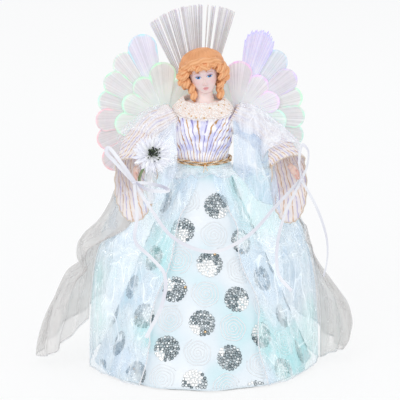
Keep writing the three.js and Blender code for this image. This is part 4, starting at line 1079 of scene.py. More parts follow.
def make_waist_flounce():
    """A short frill of organza under the braid, drawn up in front and wide at the sides."""
    def angle_of(u):
        return mix(-FLOUNCE_HALF_ANGLE, FLOUNCE_HALF_ANGLE, u)

    def ridge(u, v):
        angle = angle_of(u)
        return swing(11 * angle + 3.5 * drift(angle * 3, v, 6, 1))

    def place(u, v):
        angle = angle_of(u)
        turn = math.degrees(abs(angle))
        width = mix(FLOUNCE_NARROW, FLOUNCE_WIDE, ease(turn, 8, 75)) * (1 - 0.5 * ease(turn, 80, 95))
        width *= 1 + 0.2 * drift(angle * 3, 1, 8, 1)
        wave = FLOUNCE_WAVE * (v * (ridge(u, v) - 0.5))
        return waistband_point(angle, 0.5) + around(angle, width * v, wave - FLOUNCE_DROP * v ** 1.7)

    frill = piece(
        "waist_flounce", sheet(place, FLOUNCE_COLUMNS, FLOUNCE_ROWS), VEILS["left"],
        traits={"fold": over_sheet(ridge, FLOUNCE_COLUMNS, FLOUNCE_ROWS)},
    )
    edge = Heap()
    line = [place(k / FLOUNCE_COLUMNS, 1.0) for k in range(FLOUNCE_COLUMNS + 1)]
    edge.put(tube(line, ROLLED_EDGE_RADIUS, 5), linear("#E6E9F2"))
    rolled = piece("waist_flounce_edge", edge, SOUTACHE)
    thicken(frill, FLOUNCE_THICKNESS)


def make_waist_braid():
    wide, deep = torso_half(0.1, 3.8)
    heap = Heap()
    for level in (-CORD_LEVEL, CORD_LEVEL):
        for ply in (0, math.pi):
            line, shades = [], []
            for k in range(BRAID_STEPS):
                angle = math.tau * k / BRAID_STEPS
                sag = -BRAID_SAG * hump(math.remainder(angle, math.tau), 0, 0.5)
                twist = PLY_TURNS * angle * (1 if level > 0 else -1) + ply
                out = PLY_REACH * math.cos(twist)
                height = BRAID_HEIGHT + level + sag + PLY_REACH * math.sin(twist)
                line.append(oval(angle, wide + out, deep + out, height))
                shades += [mix(GOLD_DARK, GOLD_PALE, swing(k * 0.55 + ply + level))] * BRAID_SIDES
            heap.put(tube(line, PLY_RADIUS, BRAID_SIDES, closed=True), shades)
    knot = Vector((0, -deep - 1.6, BRAID_HEIGHT - 1.4))
    heap.put(ball(knot, BRAID_KNOT, 10), GOLD_DARK)
    for end in BRAID_ENDS:
        half_way = knot + Vector(end) * 0.5 + Vector((0, -0.8, 0))
        line = smooth_line([knot, half_way, knot + Vector(end)], 6)
        heap.put(tube(line, BRAID_END_RADIUS, 6), GOLD_PALE)
    piece("waist_braid", heap, GOLD_THREAD, ["waist_braid"])


# Collar

COLLAR_COLUMNS, COLLAR_ROWS = 140, 10
# Shares of the torso's height, half width and half depth at the collar's lower and upper edges
COLLAR_RISE, COLLAR_WIDTHS, COLLAR_DEPTHS = (0.765, 0.91), (1.045, 0.7), (0.98, 0.68)
COLLAR_OUTSIDE, COLLAR_INSIDE = 0.7, -1.2
LACE_BAND = linear("#F6EAE2")
LACE_SHADES = [linear("#FDF5F0"), LACE_BAND, linear("#FFFCFA")]
LACE_GOLD, LACE_GOLD_SHARE = linear("#D9B27C"), 0.03
BEAD_ROWS, BEADS_BELOW, BEADS_ABOVE = 10, 100, 68


def collar_point(u, v, lift=0.0):
    """The lace band round the neckline; in front it dips further and stands out over the bodice."""
    angle = math.tau * u
    front = ease(math.cos(angle), -0.3, 1.0)
    wide = TORSO_HALF_WIDTH * mix(*COLLAR_WIDTHS, v)
    deep = TORSO_HALF_DEPTH * mix(*COLLAR_DEPTHS, v) + 2.6 * (1 - v) * front
    z = WAIST + TORSO_HEIGHT * mix(*COLLAR_RISE, v) - 0.06 * deep * math.cos(angle) + 1.9
    z -= front * mix(4.6, 2.6, v)
    out = around(angle, 1.0, 0.9).normalized()
    return oval(angle, wide, deep, z) + out * lift


def make_collar():
    heap = Heap()
    for lift in (COLLAR_OUTSIDE, COLLAR_INSIDE):
        layer = sheet(lambda u, v: collar_point(u, v, lift), COLLAR_COLUMNS, COLLAR_ROWS, closed=True)
        heap.put(layer[:2], LACE_BAND)
    inside = len(heap.points) // 2
    for edge in (0, COLLAR_COLUMNS * COLLAR_ROWS):
        for i in range(COLLAR_COLUMNS):
            here, ahead = edge + i, edge + (i + 1) % COLLAR_COLUMNS
            heap.faces.append((here, ahead, inside + ahead, inside + here))
    piece("collar", heap, LACE, ["collar"])
    beads = Heap()
    for row in range(BEAD_ROWS + 1):
        v = mix(-0.08, 1.0, row / BEAD_ROWS)
        count = round(mix(BEADS_BELOW, BEADS_ABOVE, row / BEAD_ROWS))
        lift = 0.9 if 0 < row < BEAD_ROWS else 0.2
        for k in range(count):
            u = (k + 0.5 * (row % 2) + dice.uniform(-0.25, 0.25)) / count
            size = dice.uniform(0.7, 1.05)
            shade = LACE_GOLD if dice.random() < LACE_GOLD_SHARE else dice.choice(LACE_SHADES)
            spot = collar_point(u, v + dice.uniform(-0.03, 0.03), lift)
            beads.put(ball(spot, (size, size, size * 0.85), 7), shade)
    piece("collar_beads", beads, LACE)


# Sleeves and shawls

ARM_STOPS = {
    "left": [(-24.0, 0, 232.38), (-56.5, -7, 212.38), (-62.5, -36, 191.38)],
    "right": [(24.0, 0, 232.38), (57.5, -4, 211.38), (75.5, -30, 189.38)],
}
ARM_STEPS = 40
ARMS = {name: smooth_line(stops, ARM_STEPS) for name, stops in ARM_STOPS.items()}
ARM_SPANS = 2 * ARM_STEPS
# How far a sleeve stands from its arm at shares of the arm's length
SLEEVE_ACROSS = [(0, 10), (0.24, 14.5), (0.5, 12), (0.8, 14.5), (1, 18)]
SLEEVE_ABOVE = [(0, 9), (0.24, 12.5), (0.5, 10.5), (0.8, 9), (1, 9)]
SLEEVE_BELOW = [(0, 10), (0.24, 14), (0.5, 16), (0.8, 32), (1, 52)]
SLEEVE_SPAN = (0.03, 0.97)
SLEEVE_COLUMNS, SLEEVE_ROWS, SLEEVE_REPEATS = 150, 70, 15
CUFF_RADIUS = 0.6
# The collar's outline that a sleeve is tucked under, and what keeps it off the bodice
COLLAR_HALF_WIDTH, COLLAR_HALF_DEPTH, COLLAR_INNER_SHARE = 28.2, 20.5, 0.65
TUCKED_UNDER, OFF_BODICE = 1.6, 2.2
# Shares of the arm's length at which the shawls end: the right one is drawn down to the wrist
SHAWL_START = 0.05
SHAWL_END = {"left": 0.6, "right": 0.82}
SHAWL_TURNS = (-34, 214)
SHAWL_COLUMNS, SHAWL_ROWS = 90, 48
# The loose ends' upper and lower edges, three stops each
FALLS = {
    "left": (
        [(-26, -13, 229), (-42, -19, 217), (-54, -26, 204)],
        [(-25, -24, 184), (-40, -40, 166), (-58, -44, 152)],
    ),
    "right": (
        [(26, -13, 229), (44, -18, 217), (60, -25, 203)],
        [(25, -24, 184), (44, -40, 164), (66, -42, 148)],
    ),
}
FALL_STEPS, FALL_ROWS, FALL_THICKNESS = 30, 40, 0.25
FALL_COLUMNS = 2 * FALL_STEPS


def arm_at(arm, t):
    """Middle and direction of an arm at a share of its length."""
    place = t * ARM_SPANS
    i = min(int(place), ARM_SPANS - 1)
    middle = arm[i].lerp(arm[i + 1], place - i)
    before, after = arm[max(0, i - 1)], arm[min(ARM_SPANS, i + 2)]
    return middle, (after - before).normalized()


def sleeve_point(arm, t, turn, proud):
    middle, forward = arm_at(arm, t)
    across = Vector((0, 0, 1)).cross(forward).normalized()
    above = forward.cross(across)
    below = (-above).lerp(Vector((0, 0.1, -1)), ease(t, 0.4, 0.9) * 0.8).normalized()
    height = math.sin(turn)
    lift = along(SLEEVE_ABOVE if height > 0 else SLEEVE_BELOW, t) + proud
    side = across * (along(SLEEVE_ACROSS, t) + proud) * math.cos(turn)
    return middle + side + (above if height > 0 else below) * lift * abs(height)


def clear_of_body(point, proud):
    """Tucks a point under the collar and out of the bodice; says whether it was inside the bodice."""
    point = point.copy()
    share = math.hypot(point.x / COLLAR_HALF_WIDTH, point.y / COLLAR_HALF_DEPTH)
    if share < 1:
        v = (1 - share) / (1 - COLLAR_INNER_SHARE)
        point.z = min(point.z, WAIST + TORSO_HEIGHT * mix(*COLLAR_RISE, min(1.0, v)) - TUCKED_UNDER)
    rise = (point.z - WAIST) / TORSO_HEIGHT
    wide, deep = torso_half(min(max(rise, 0.0), 0.87), proud)
    share = math.hypot(point.x / wide, point.y / deep)
    if share >= 1:
        return point, False
    return Vector((point.x / share, point.y / share, point.z)), True


def sleeve_drop(t, turn, side):
    """How far the drop point hangs lower, and fuller on its outer side; the right one more."""
    low = ease(t, 0.5, 1.0) * max(0.0, -math.sin(turn))
    outer = 0.5 + 0.5 * math.cos(turn) * side
    return Vector((14 * outer * side, 0, -7)) * low * (1.0 if side > 0 else 0.5)


def arm_cloth(name, place, columns, rows, closed, finish, stripe=None):
    """A sheet round an arm, without the part of it that would lie inside the body."""
    points, faces, corners = sheet(place, columns, rows, closed=closed)
    moved = [clear_of_body(p, OFF_BODICE) for p in points]
    kept = [k for k, face in enumerate(faces) if not all(moved[i][1] for i in face)]
    cloth_map = [stripe(*corners[4 * k + c]) for k in kept for c in range(4)] if stripe else None
    shape = [p for p, _ in moved], [faces[k] for k in kept]
    return piece(name, shape, finish, [name], cloth_map=cloth_map)


def make_sleeves():
    for name, arm in ARMS.items():
        side = SIDES[name]

        def place(u, v):
            turn = math.tau * u
            t = mix(*SLEEVE_SPAN, v)
            fold = swing(SLEEVE_REPEATS * 2 * turn + 2.5 * drift(turn * 6, t * 12, side, 4))
            deep = 0.35 + 0.9 * hump(t, 0.1, 0.14) + 0.75 * ease(t, 0.4, 0.9)
            crush = drift(math.cos(turn) * 14, math.sin(turn) * 14, t * 60 + side * 9, 6.5)
            point = sleeve_point(arm, t, turn, deep * fold + 1.1 * max(0.0, crush))
            return point + sleeve_drop(t, turn, side)

        def stripe(u, v):
            return SLEEVE_REPEATS * u + (0.8 * v + 3.0 * ease(v, 0.4, 1.0)) * side, v * 8

        sleeve = arm_cloth(
            f"sleeve_{name}", place, SLEEVE_COLUMNS, SLEEVE_ROWS, True, SLEEVE_STRIPED, stripe
        )
        cuff = Heap()
        line = [place(k / SLEEVE_COLUMNS, 1.0) for k in range(SLEEVE_COLUMNS)]
        cuff.put(tube(line, CUFF_RADIUS, 5, closed=True), linear("#D9C9B8"))
        hem = piece(f"sleeve_{name}_hem", cuff, LACE)
        thicken(sleeve, STRIPED_THICKNESS)


def make_shawls():
    for name, arm in ARMS.items():
        side = SIDES[name]

        def place(u, v):
            turn = math.radians(mix(*SHAWL_TURNS, u))
            t = mix(SHAWL_START, SHAWL_END[name], v)
            ripple = 0.9 * swing(9 * math.pi * u + 3 * drift(u * 20, v * 20, side, 6))
            crush = 1.6 * max(0.0, drift(u * 40, v * 36, side * 5, 8))
            edge = 1.6 * ease(abs(u - 0.5), 0.38, 0.5) * math.sin(9 * v + side)
            proud = 2.7 + 3 * v + ripple * (0.4 + v) + crush + abs(edge)
            return sleeve_point(arm, t, turn, proud) + sleeve_drop(t, turn, side)

        shawl = arm_cloth(f"shawl_{name}", place, SHAWL_COLUMNS, SHAWL_ROWS, False, VEILS[name])
        thicken(shawl, ORGANZA_THICKNESS)


def make_falls():
    """The shawls' loose ends, which hang from the arms in front of the waist."""
    for name, edges in FALLS.items():
        top, bottom = (smooth_line(stops, FALL_STEPS) for stops in edges)

        def place(u, v):
            i = u * FALL_COLUMNS
            k = min(int(i), FALL_COLUMNS - 1)
            upper, lower = top[k].lerp(top[k + 1], i - k), bottom[k].lerp(bottom[k + 1], i - k)
            point = upper.lerp(lower, v)
            fold = math.sin(24 * u + 3 * v + 2 * drift(u * 5, v * 4, 7, 1))
            point.y -= 3 * math.sin(math.pi * v) + 2.4 * (0.2 + v) * fold + 2 * drift(u * 30, v * 30, 2, 7)
            point.z += 2.2 * v * math.sin(9 * u)
            return point

        cloth = sheet(place, FALL_COLUMNS, FALL_ROWS)
        fall = piece(f"shawl_{name}_fall", cloth, GATHERED_ORGANZA[name])
        thicken(fall, FALL_THICKNESS)


# Hands

SKIN_PALE, SKIN_WARM = linear("#F3D3C6"), linear("#EEBFB2")
PALM_RADII, WRIST_RADIUS = (2.5, 4.3, 5.6), 2.75
# Each finger's place across the palm, and how far it reaches
FINGERS = ((-3.1, 14.6), (-1.05, 16.6), (1.05, 16.9), (3.0, 15.4))
# Radii at the root and near the tip, then of the round tip itself
FINGER_RADII, FINGER_TIP = (1.25, 0.85), 0.86
THUMB_RADII, THUMB_TIP = (1.35, 0.95), 0.96


def make_hands():
    for name, arm in ARMS.items():
        side = -SIDES[name]
        reach = (arm[-1] - arm[-2]).normalized()
        wrist = arm[-1] + reach * 0.3
        thin = Vector((0, 0, 1)).cross(reach).normalized()
        wide = reach.cross(thin)
        palm_side = thin * (side if thin.x > 0 else -side)
        at = lambda ahead, across, deep: wrist + reach * ahead + wide * across + palm_side * deep
        turn = Matrix((thin, wide, reach)).transposed()
        heap = Heap()
        heap.put(ball(at(6.2, 0, 0), PALM_RADII, 18, turn), SKIN_PALE)
        heap.put(tube([at(-0.2, 0, 0), at(3, 0, 0), at(5, 0, 0)], WRIST_RADIUS, 14), SKIN_PALE)
        for finger, (across, length) in enumerate(FINGERS):
            stops = [
                at(7, across * 0.9, 0), at(10.5, across, 0.2),
                at(mix(10.5, length, 0.6), across * 0.86, 0.9), at(length, across * 0.62, 1.5),
            ]
            line = smooth_line(stops, 4)
            heap.put(tube(line, lambda t: mix(*FINGER_RADII, t), 9), (SKIN_PALE, SKIN_WARM)[finger % 2])
            heap.put(ball(line[-1], FINGER_TIP, 9), SKIN_WARM)
        thumb = smooth_line([at(3.4, 2.6, 0.4), at(6.4, 4.5, 1.3), at(9.6, 4.2, 2.2)], 4)
        heap.put(tube(thumb, lambda t: mix(*THUMB_RADII, t), 9), SKIN_PALE)
        heap.put(ball(thumb[-1], THUMB_TIP, 9), SKIN_WARM)
        piece(f"hand_{name}", heap, SKIN, [f"hand_{name}"])


# Flower

BLOOM_MIDDLE = Vector((-49.6, -54.4, 207.6))
BLOOM_AXIS = Vector((0.15, -0.85, 0.5)).normalized()
BLOOM_ACROSS = BLOOM_AXIS.orthogonal().normalized()
BLOOM_UP = BLOOM_AXIS.cross(BLOOM_ACROSS)
FEATHER_SHADES = [linear("#FCFCFE"), linear("#F3F3FA"), linear("#E6E6F4")]
# Each tier of feather petals: number, forward lean, length, width, and how far back they are rooted
BLOOM_TIERS = ((16, 0.02, 17.6, 4.2, -6.0), (14, 0.28, 16.4, 3.6, -3.5), (11, 0.62, 13.4, 3.0, -1.0))
BLOOM_CORE, BLOOM_CORE_BACK = 4.6, 5.5
# Corners of a petal's section: share of its half width, and lift towards its rib
STRAP_SECTION = ((-1, 0.0), (-0.5, 0.3), (0, 0.55), (0.5, 0.3), (1, 0.0), (0, -0.1))
STRAP_ROWS = 9
BARB_COUNT, BARB_RADII = 320, (0.26, 0.1)
STAMEN_COUNT, FILAMENT_RADIUS, FILAMENT_SHADE = 58, 0.22, linear("#5B6A4A")
STAMEN_SHADES = [linear("#1F2A22"), linear("#35452F"), linear("#141A18"), linear("#4C5A3C")]


def bloom_way(turn):
    """A direction across the bloom."""
    return BLOOM_ACROSS * math.cos(turn) + BLOOM_UP * math.sin(turn)


def strap(root, way, out, length, width, bend):
    """A narrow feather petal: a bent, tapered blade with a rib, thick enough to be solid."""
    side = way.cross(out).normalized()
    points = []
    for j in range(STRAP_ROWS + 1):
        t = j / STRAP_ROWS
        middle = root + way * length * t + out * bend * t * t
        half = width / 2 * (0.35 + 0.65 * math.sin(math.pi * min(1, t * 0.8 + 0.12)))
        half *= 1 - 0.75 * ease(t, 0.75, 1)
        points += [middle + side * half * across + out * lift for across, lift in STRAP_SECTION]
    return points, ring_faces(STRAP_ROWS + 1, len(STRAP_SECTION))


def make_flower():
    heap, barbs, hearts = Heap(), Heap(), Heap()
    for tier, (count, lean, length, width, back) in enumerate(BLOOM_TIERS):
        root = BLOOM_MIDDLE + BLOOM_AXIS * back * 0.8
        tones = 3 if tier == 0 else 2
        for k in range(count):
            flat = bloom_way(math.tau * (k + 0.37 * tier) / count + dice.uniform(-0.1, 0.1))
            way = (flat + BLOOM_AXIS * (lean + dice.uniform(-0.06, 0.1))).normalized()
            out = (BLOOM_AXIS - flat * lean).normalized()
            reach = length * dice.uniform(0.88, 1.03)
            blade = strap(root + flat * 1.5, way, out, reach, width, dice.uniform(0.5, 2.5))
            heap.put(blade, FEATHER_SHADES[k % tones])
    heap.put(ball(BLOOM_MIDDLE - BLOOM_AXIS * BLOOM_CORE_BACK, BLOOM_CORE, 14), FEATHER_SHADES[1])
    for k in range(BARB_COUNT):
        flat = bloom_way(dice.uniform(0, math.tau))
        # The down stands longer towards the upper right
        toward = max(0.0, flat.x * 0.8 + flat.z * 0.6)
        length = dice.uniform(12, 18) + 10 * toward * dice.random()
        stem = (flat + BLOOM_AXIS * dice.uniform(0.0, 0.7)).normalized() * length
        root = BLOOM_MIDDLE + flat * 2 - BLOOM_AXIS * dice.uniform(1, 4)
        droop = Vector((0, 0, -dice.uniform(0, 2.5)))
        line = [root, root + stem * 0.4, root + stem * 0.72 + droop * 0.35, root + stem + droop]
        barbs.put(tube(line, lambda t: mix(*BARB_RADII, t), 4), FEATHER_SHADES[k % 2])
    for k in range(STAMEN_COUNT):
        flat = bloom_way(dice.uniform(0, math.tau))
        reach = (8.4 if k % 4 == 0 else 4.6) * math.sqrt(dice.random())
        foot = BLOOM_MIDDLE - BLOOM_AXIS * 1.0 + flat * reach * 0.5
        head = BLOOM_MIDDLE + BLOOM_AXIS * dice.uniform(3.5, 7.0) + flat * reach
        shade = dice.choice(STAMEN_SHADES)
        hearts.put(tube([foot, foot.lerp(head, 0.5), head], FILAMENT_RADIUS, 5), FILAMENT_SHADE)
        hearts.put(ball(head, dice.uniform(0.5, 0.85), 8), shade)
    piece("flower_bloom", heap, FEATHER, ["flower_bloom"])
    piece("flower_barbs", barbs, FEATHER)
    piece("flower_stamens", hearts, STAMEN)


# Head, measured from the middle of the face: x to the right, -y to the front, z up

HEAD_MIDDLE = Vector((0, -4.4, 268.8))
HEAD_TURN = (
    Matrix.Rotation(math.radians(-3), 3, "Z")
    @ Matrix.Rotation(math.radians(-9.5), 3, "Y")
    @ Matrix.Rotation(math.radians(6), 3, "X")
)
EYE_ACROSS, EYE_HEIGHT = 5.2, 0.8
CHIN, CROWN = -16.1, 17.0
FACE_COLUMNS, FACE_ROWS = 150, 132
# At each height: half the width, and how far the head reaches to the front and to the back
FACE_WIDTH = [
    (CHIN, 0.4), (-15.4, 3.2), (-13.6, 5.7), (-11, 7.7), (-8, 9.8), (-4, 11.7), (0, 12.7), (4, 13.0),
    (8, 12.6), (12, 10.6), (15, 7), (CROWN, 0.4),
]
FACE_FRONT = [
    (CHIN, 8.8), (-15.2, 11.2), (-13.4, 12.5), (-11.2, 12.5), (-9, 12.9), (-5, 13.2), (0, 12.9), (4, 13.2),
    (8, 12.8), (12, 10.8), (15, 7.2), (CROWN, 0.4),
]
FACE_BACK = [
    (CHIN, -8.2), (-14.6, -4.5), (-12, -0.5), (-8, 5), (-2, 10), (4, 12), (10, 10.5), (15, 6), (CROWN, 0.4),
]
NOSE_HEIGHT = [
    (-7.3, 0.0), (-6.7, 0.9), (-5.7, 2.7), (-4.7, 2.7), (-2, 1.5), (1, 0.6), (3.2, 0.1), (4, 0.0),
]
NOSE_WIDTH = [(-7, 2.0), (-5.6, 1.9), (-3, 1.4), (1, 1.1), (4, 1.2)]
PAINT_SKIN, PAINT_BLUSH, PAINT_EYE_SHADOW = linear("#F0D8D4"), linear("#EFA9A6"), linear("#CDB0DC")
PAINT_LIP, PAINT_LIP_LINE, PAINT_BROW = linear("#E8A0A2"), linear("#B9626C"), linear("#C79478")
PAINT_EYE, PAINT_IRIS, PAINT_IRIS_RIM = linear("#E3EAF8"), linear("#0B4E96"), linear("#3FA4EC")
# The neck's paint is paler than the face's: painted light against the shade under the head
PAINT_PUPIL, PAINT_LID, PAINT_NECK_LIGHTENED = linear("#0C141A"), linear("#3A2E38"), linear("#FFECE7")
NECK_RINGS, NECK_SIDES, NECK_FOOT = 26, 64, 0.885
# Above the torso: the neck's heights, half widths and half depths
NECK_HEIGHTS, NECK_WIDTHS, NECK_DEPTHS = (250.3, 262.0), (8.87, 7.4), (9.0, 7.6)


def on_head(x, y, z):
    return HEAD_MIDDLE + HEAD_TURN @ Vector((x, y, z))


def face_relief(x, z):
    """How far the casting stands out from the plain head: nose, eyes, brows, cheeks, lips and chin."""
    wide = abs(x)
    eye_x, eye_z = (wide - EYE_ACROSS) / 2.5, (z - EYE_HEIGHT) / 1.35
    relief = through(NOSE_HEIGHT, z) * hump(x, 0, through(NOSE_WIDTH, z))
    relief += 0.8 * hump(wide, 1.75, 0.8) * hump(z, -5.9, 0.85)
    relief -= 1.15 * hump(wide, EYE_ACROSS - 0.3, 3.3) * hump(z, EYE_HEIGHT + 0.4, 2.1)
    relief += 0.85 * math.sqrt(max(0.0, 1 - eye_x ** 2 - eye_z ** 2))
    relief += 0.4 * hump(wide, 5.0, 4.0) * hump(z, 4.2, 1.2)
    relief += 0.55 * hump(wide, 7.0, 3.4) * hump(z, -3.6, 3.0)
    relief += 0.8 * hump(x, 0, 2.5) * hump(z, -8.75, 0.75) * (1 - 0.35 * hump(x, 0, 0.5))
    relief += 1.0 * hump(x, 0, 2.2) * hump(z, -10.35, 0.8)
    relief -= 0.6 * math.exp(-((x / 2.9) ** 4)) * hump(z, -9.6 - 0.05 * wide, 0.3)
    relief -= 0.5 * hump(x, 0, 3.0) * hump(z, -11.8, 0.7)
    relief += 0.8 * hump(x, 0, 3.0) * hump(z, -13.5, 1.6)
    return relief


def eye_paint(shade, x, dx, dz):
    """Lids and, inside their opening, the painted eye; dx and dz are measured from its middle."""
    opening = 1 - (dx / 2.7) ** 2 - (dz / (1.15 if dz > 0 else 0.95)) ** 2
    if opening > 0:
        shade = PAINT_EYE
        from_iris = math.hypot(dx, dz - 0.1)
        if from_iris < 1.75:
            shade = mix(PAINT_IRIS, PAINT_IRIS_RIM, ease(from_iris, 0.6, 1.5))
        if from_iris < 0.8 or (from_iris < 1.7 and dz > 0.6):
            shade = PAINT_PUPIL
        # A small white dot on the iris: painted highlight
        if math.hypot(x - math.copysign(EYE_ACROSS, x) + 0.45, dz - 0.5) < 0.26:
            shade = PAINT_EYE
    shade = mix(shade, PAINT_LID, 0.92 * hump(opening, 0.0, 0.3) * ease(dz, -0.15, 0.35))
    return mix(shade, PAINT_LID, 0.35 * hump(opening, -0.05, 0.2) * ease(-dz, 0.1, 0.5))


def lip_paint(shade, x, z):
    """The two lips and the line between them."""
    wide = abs(x)
    bow_shape = 0.25 * hump(wide, 0.9, 0.8)
    upper = 1 - (x / 2.7) ** 2 - ((z + 9.4) / (1.1 + bow_shape)) ** 2 if z > -9.6 else -1
    lower = 1 - (x / 2.35) ** 2 - ((z + 9.7) / 1.4) ** 2 if z <= -9.6 else -1
    shade = mix(shade, PAINT_LIP, 0.9 * ease(max(upper, lower), -0.05, 0.2))
    between = math.exp(-((x / 2.5) ** 4)) * hump(z, -9.62 - 0.05 * wide, 0.16)
    return mix(shade, PAINT_LIP_LINE, 0.5 * between)


def face_paint(x, z, front):
    wide = abs(x)
    shade = mix(PAINT_SKIN, PAINT_BLUSH, 0.26 * hump(wide, 7.6, 3.4) * hump(z, -4.0, 2.6) * front)
    shade = mix(shade, PAINT_BLUSH, 0.16 * hump(x, 0, 2.4) * hump(z, -5.6, 1.6) + 0.12 * hump(z, -14, 2))
    if not front:
        return shade
    dx, dz = wide - EYE_ACROSS, z - EYE_HEIGHT
    shade = mix(shade, PAINT_EYE_SHADOW, 0.62 * hump(dx, 0.4, 3.0) * hump(dz, 1.9, 1.15))
    brow = hump(z, 5.1 - 0.075 * (wide - 5.2) ** 2, 0.42) * ease(wide, 2.0, 3.4) * (1 - ease(wide, 7.8, 9.2))
    shade = mix(shade, PAINT_BROW, 0.75 * brow)
    return lip_paint(eye_paint(shade, x, dx, dz), x, z)


def face_casting():
    """The head's points and faces, and the paint on each point; its points stand closer in front."""
    points, shades = [], []
    for j in range(FACE_ROWS + 1):
        z = mix(CHIN, CROWN, j / FACE_ROWS)
        front, back, half = through(FACE_FRONT, z), through(FACE_BACK, z), through(FACE_WIDTH, z)
        for i in range(FACE_COLUMNS):
            s = 2 * i / FACE_COLUMNS - 1
            angle = math.pi * s - 0.55 * math.sin(math.pi * s)
            x = half * math.sin(angle)
            y = (back - front) / 2 - (back + front) / 2 * math.cos(angle)
            facing = ease(math.cos(angle), 0.1, 0.45)
            if facing:
                y -= face_relief(x, z) * facing
            points.append(on_head(x, y, z))
            shades.append(face_paint(x, z, facing))
    top = FACE_ROWS * FACE_COLUMNS
    caps = [tuple(range(FACE_COLUMNS)), tuple(range(top, top + FACE_COLUMNS))]
    return (points, grid_faces(FACE_COLUMNS, FACE_ROWS, closed=True) + caps), shades


def neck():
    """Up along the torso's own neck, then on into the head."""
    points = []
    for j in range(NECK_RINGS + 1):
        t = j / NECK_RINGS
        for i in range(NECK_SIDES):
            angle = math.tau * i / NECK_SIDES
            if t < 0.5:
                points.append(torso_point(angle, mix(NECK_FOOT, 1.0, t * 2), 0.45))
                continue
            rise = (t - 0.5) * 2
            slim = ease(rise, 0, 0.7)
            ring = oval(angle, mix(*NECK_WIDTHS, slim), mix(*NECK_DEPTHS, slim), mix(*NECK_HEIGHTS, rise))
            points.append(ring + Vector((0.4 * rise, -1.2 * rise, 0)))
    top = NECK_RINGS * NECK_SIDES
    return points, grid_faces(NECK_SIDES, NECK_RINGS, closed=True) + [tuple(range(top, top + NECK_SIDES))]


def make_face():
    heap = Heap()
    heap.put(*face_casting())
    # The neck is painted paler than the face, as painted light
    heap.put(neck(), PAINT_NECK_LIGHTENED)
    piece("head", heap, SKIN, ["head"])


# Hair

# The hair's own orange, with painted shade for its grooves and a painted highlight for its crests
HAIR_PAINTED_SHADE, HAIR_CREST, HAIR_PAINTED_HIGHLIGHT = linear("#C67E48"), linear("#F9B27B"), linear("#FFCB9A")
CAP_COLUMNS, CAP_ROWS, CAP_FALL = 140, 70, 0.70
CAP_MIDDLE, CAP_RADII = Vector((0, 6.4, 6.4)), Vector((20.4, 17.0, 15.8))
LOCK_SIDES, LOCK_STEPS, LOCK_GROOVES = 20, 14, 5
CURL_TAPER = [(0, 0.7), (0.2, 1.0), (0.75, 1.0), (1, 0.35)]
BROW_ROLL = [
    (-19.5, -1, 5.5), (-16, -7.6, 11.2), (-8.6, -11.6, 14.6), (0, -12.6, 15.8), (8.6, -11.6, 14.6),
    (16, -7.6, 11.2), (19.5, -1, 5.5),
]
BROW_ROLL_RADIUS, BROW_ROLL_TAPER = 2.9, [(0, 0.8), (0.5, 1.1), (1, 0.8)]
# Each lock of the fringe: where it is rooted and where it ends across the brow, and how low
FRINGE = (
    (-12.2, -13.6, 1.6), (-9.6, -11.2, 4.6), (-6.6, -4.8, 6.6), (-3.0, -4.6, 5.6), (0.6, 2.8, 7.0),
    (4.2, 3.0, 6.4), (7.6, 9.4, 7.2), (10.4, 11.6, 5.0), (12.6, 13.6, 2.4),
)
FRINGE_RADIUS, FRINGE_TAPER = 2.2, [(0, 0.9), (0.5, 1.15), (1, 0.35)]
# Ringlets from the cheek round to the back: radius, then stops on the right side
RINGLETS = (
    (2.3, [
        (14.2, -8.6, 10.5), (15.6, -8.6, 4), (15.9, -7.4, -3.5), (14.2, -5.8, -10.5), (12.6, -4.2, -15.5),
    ]),
    (2.6, [(15.2, -8.0, 10.5), (17.4, -7.2, 4), (17.6, -5.6, -2.5), (15.4, -4.6, -9)]),
    (2.9, [(17.0, -5.0, 9.5), (19.8, -4.0, 3), (20.4, -2.6, -3.5), (17.4, -2.0, -9.5)]),
    (2.9, [(18.0, -1.0, 8.5), (20.8, 0.4, 1.0), (19.8, 1.6, -6.0), (16.4, 2.0, -12)]),
    (2.9, [(17.4, 3.6, 7.0), (19.6, 4.6, -1), (18.0, 5.4, -8), (15.0, 5.2, -14)]),
    (3.0, [(15.0, 8.6, 6.0), (17.0, 10.0, -2), (15.6, 10.2, -9), (13.2, 8.8, -15.5)]),
    (3.1, [(11.6, 13.4, 5.0), (13.2, 14.8, -3), (12.0, 14.4, -10), (10.0, 12.4, -16)]),
)
RINGLET_WAVES, RINGLET_REACH, RIGHT_RINGLETS_IN = 3.6, 1.25, 0.7
# Two ringlets hang straight down beside the neck, in the part's frame
NECK_RINGLETS = (
    (3.1, [(-11.6, -7.2, 263), (-10.4, -8.4, 257), (-9.2, -9.6, 251), (-8.8, -10.4, 245)]),
    (3.4, [(13.6, -5.6, 264), (15.0, -5.2, 257), (15.4, -5.0, 251), (15.4, -5.0, 245)]),
)
BACK_RINGLETS, BACK_RINGLET_SPACING, BACK_RINGLET_RADIUS = 3, 5.2, 3.4


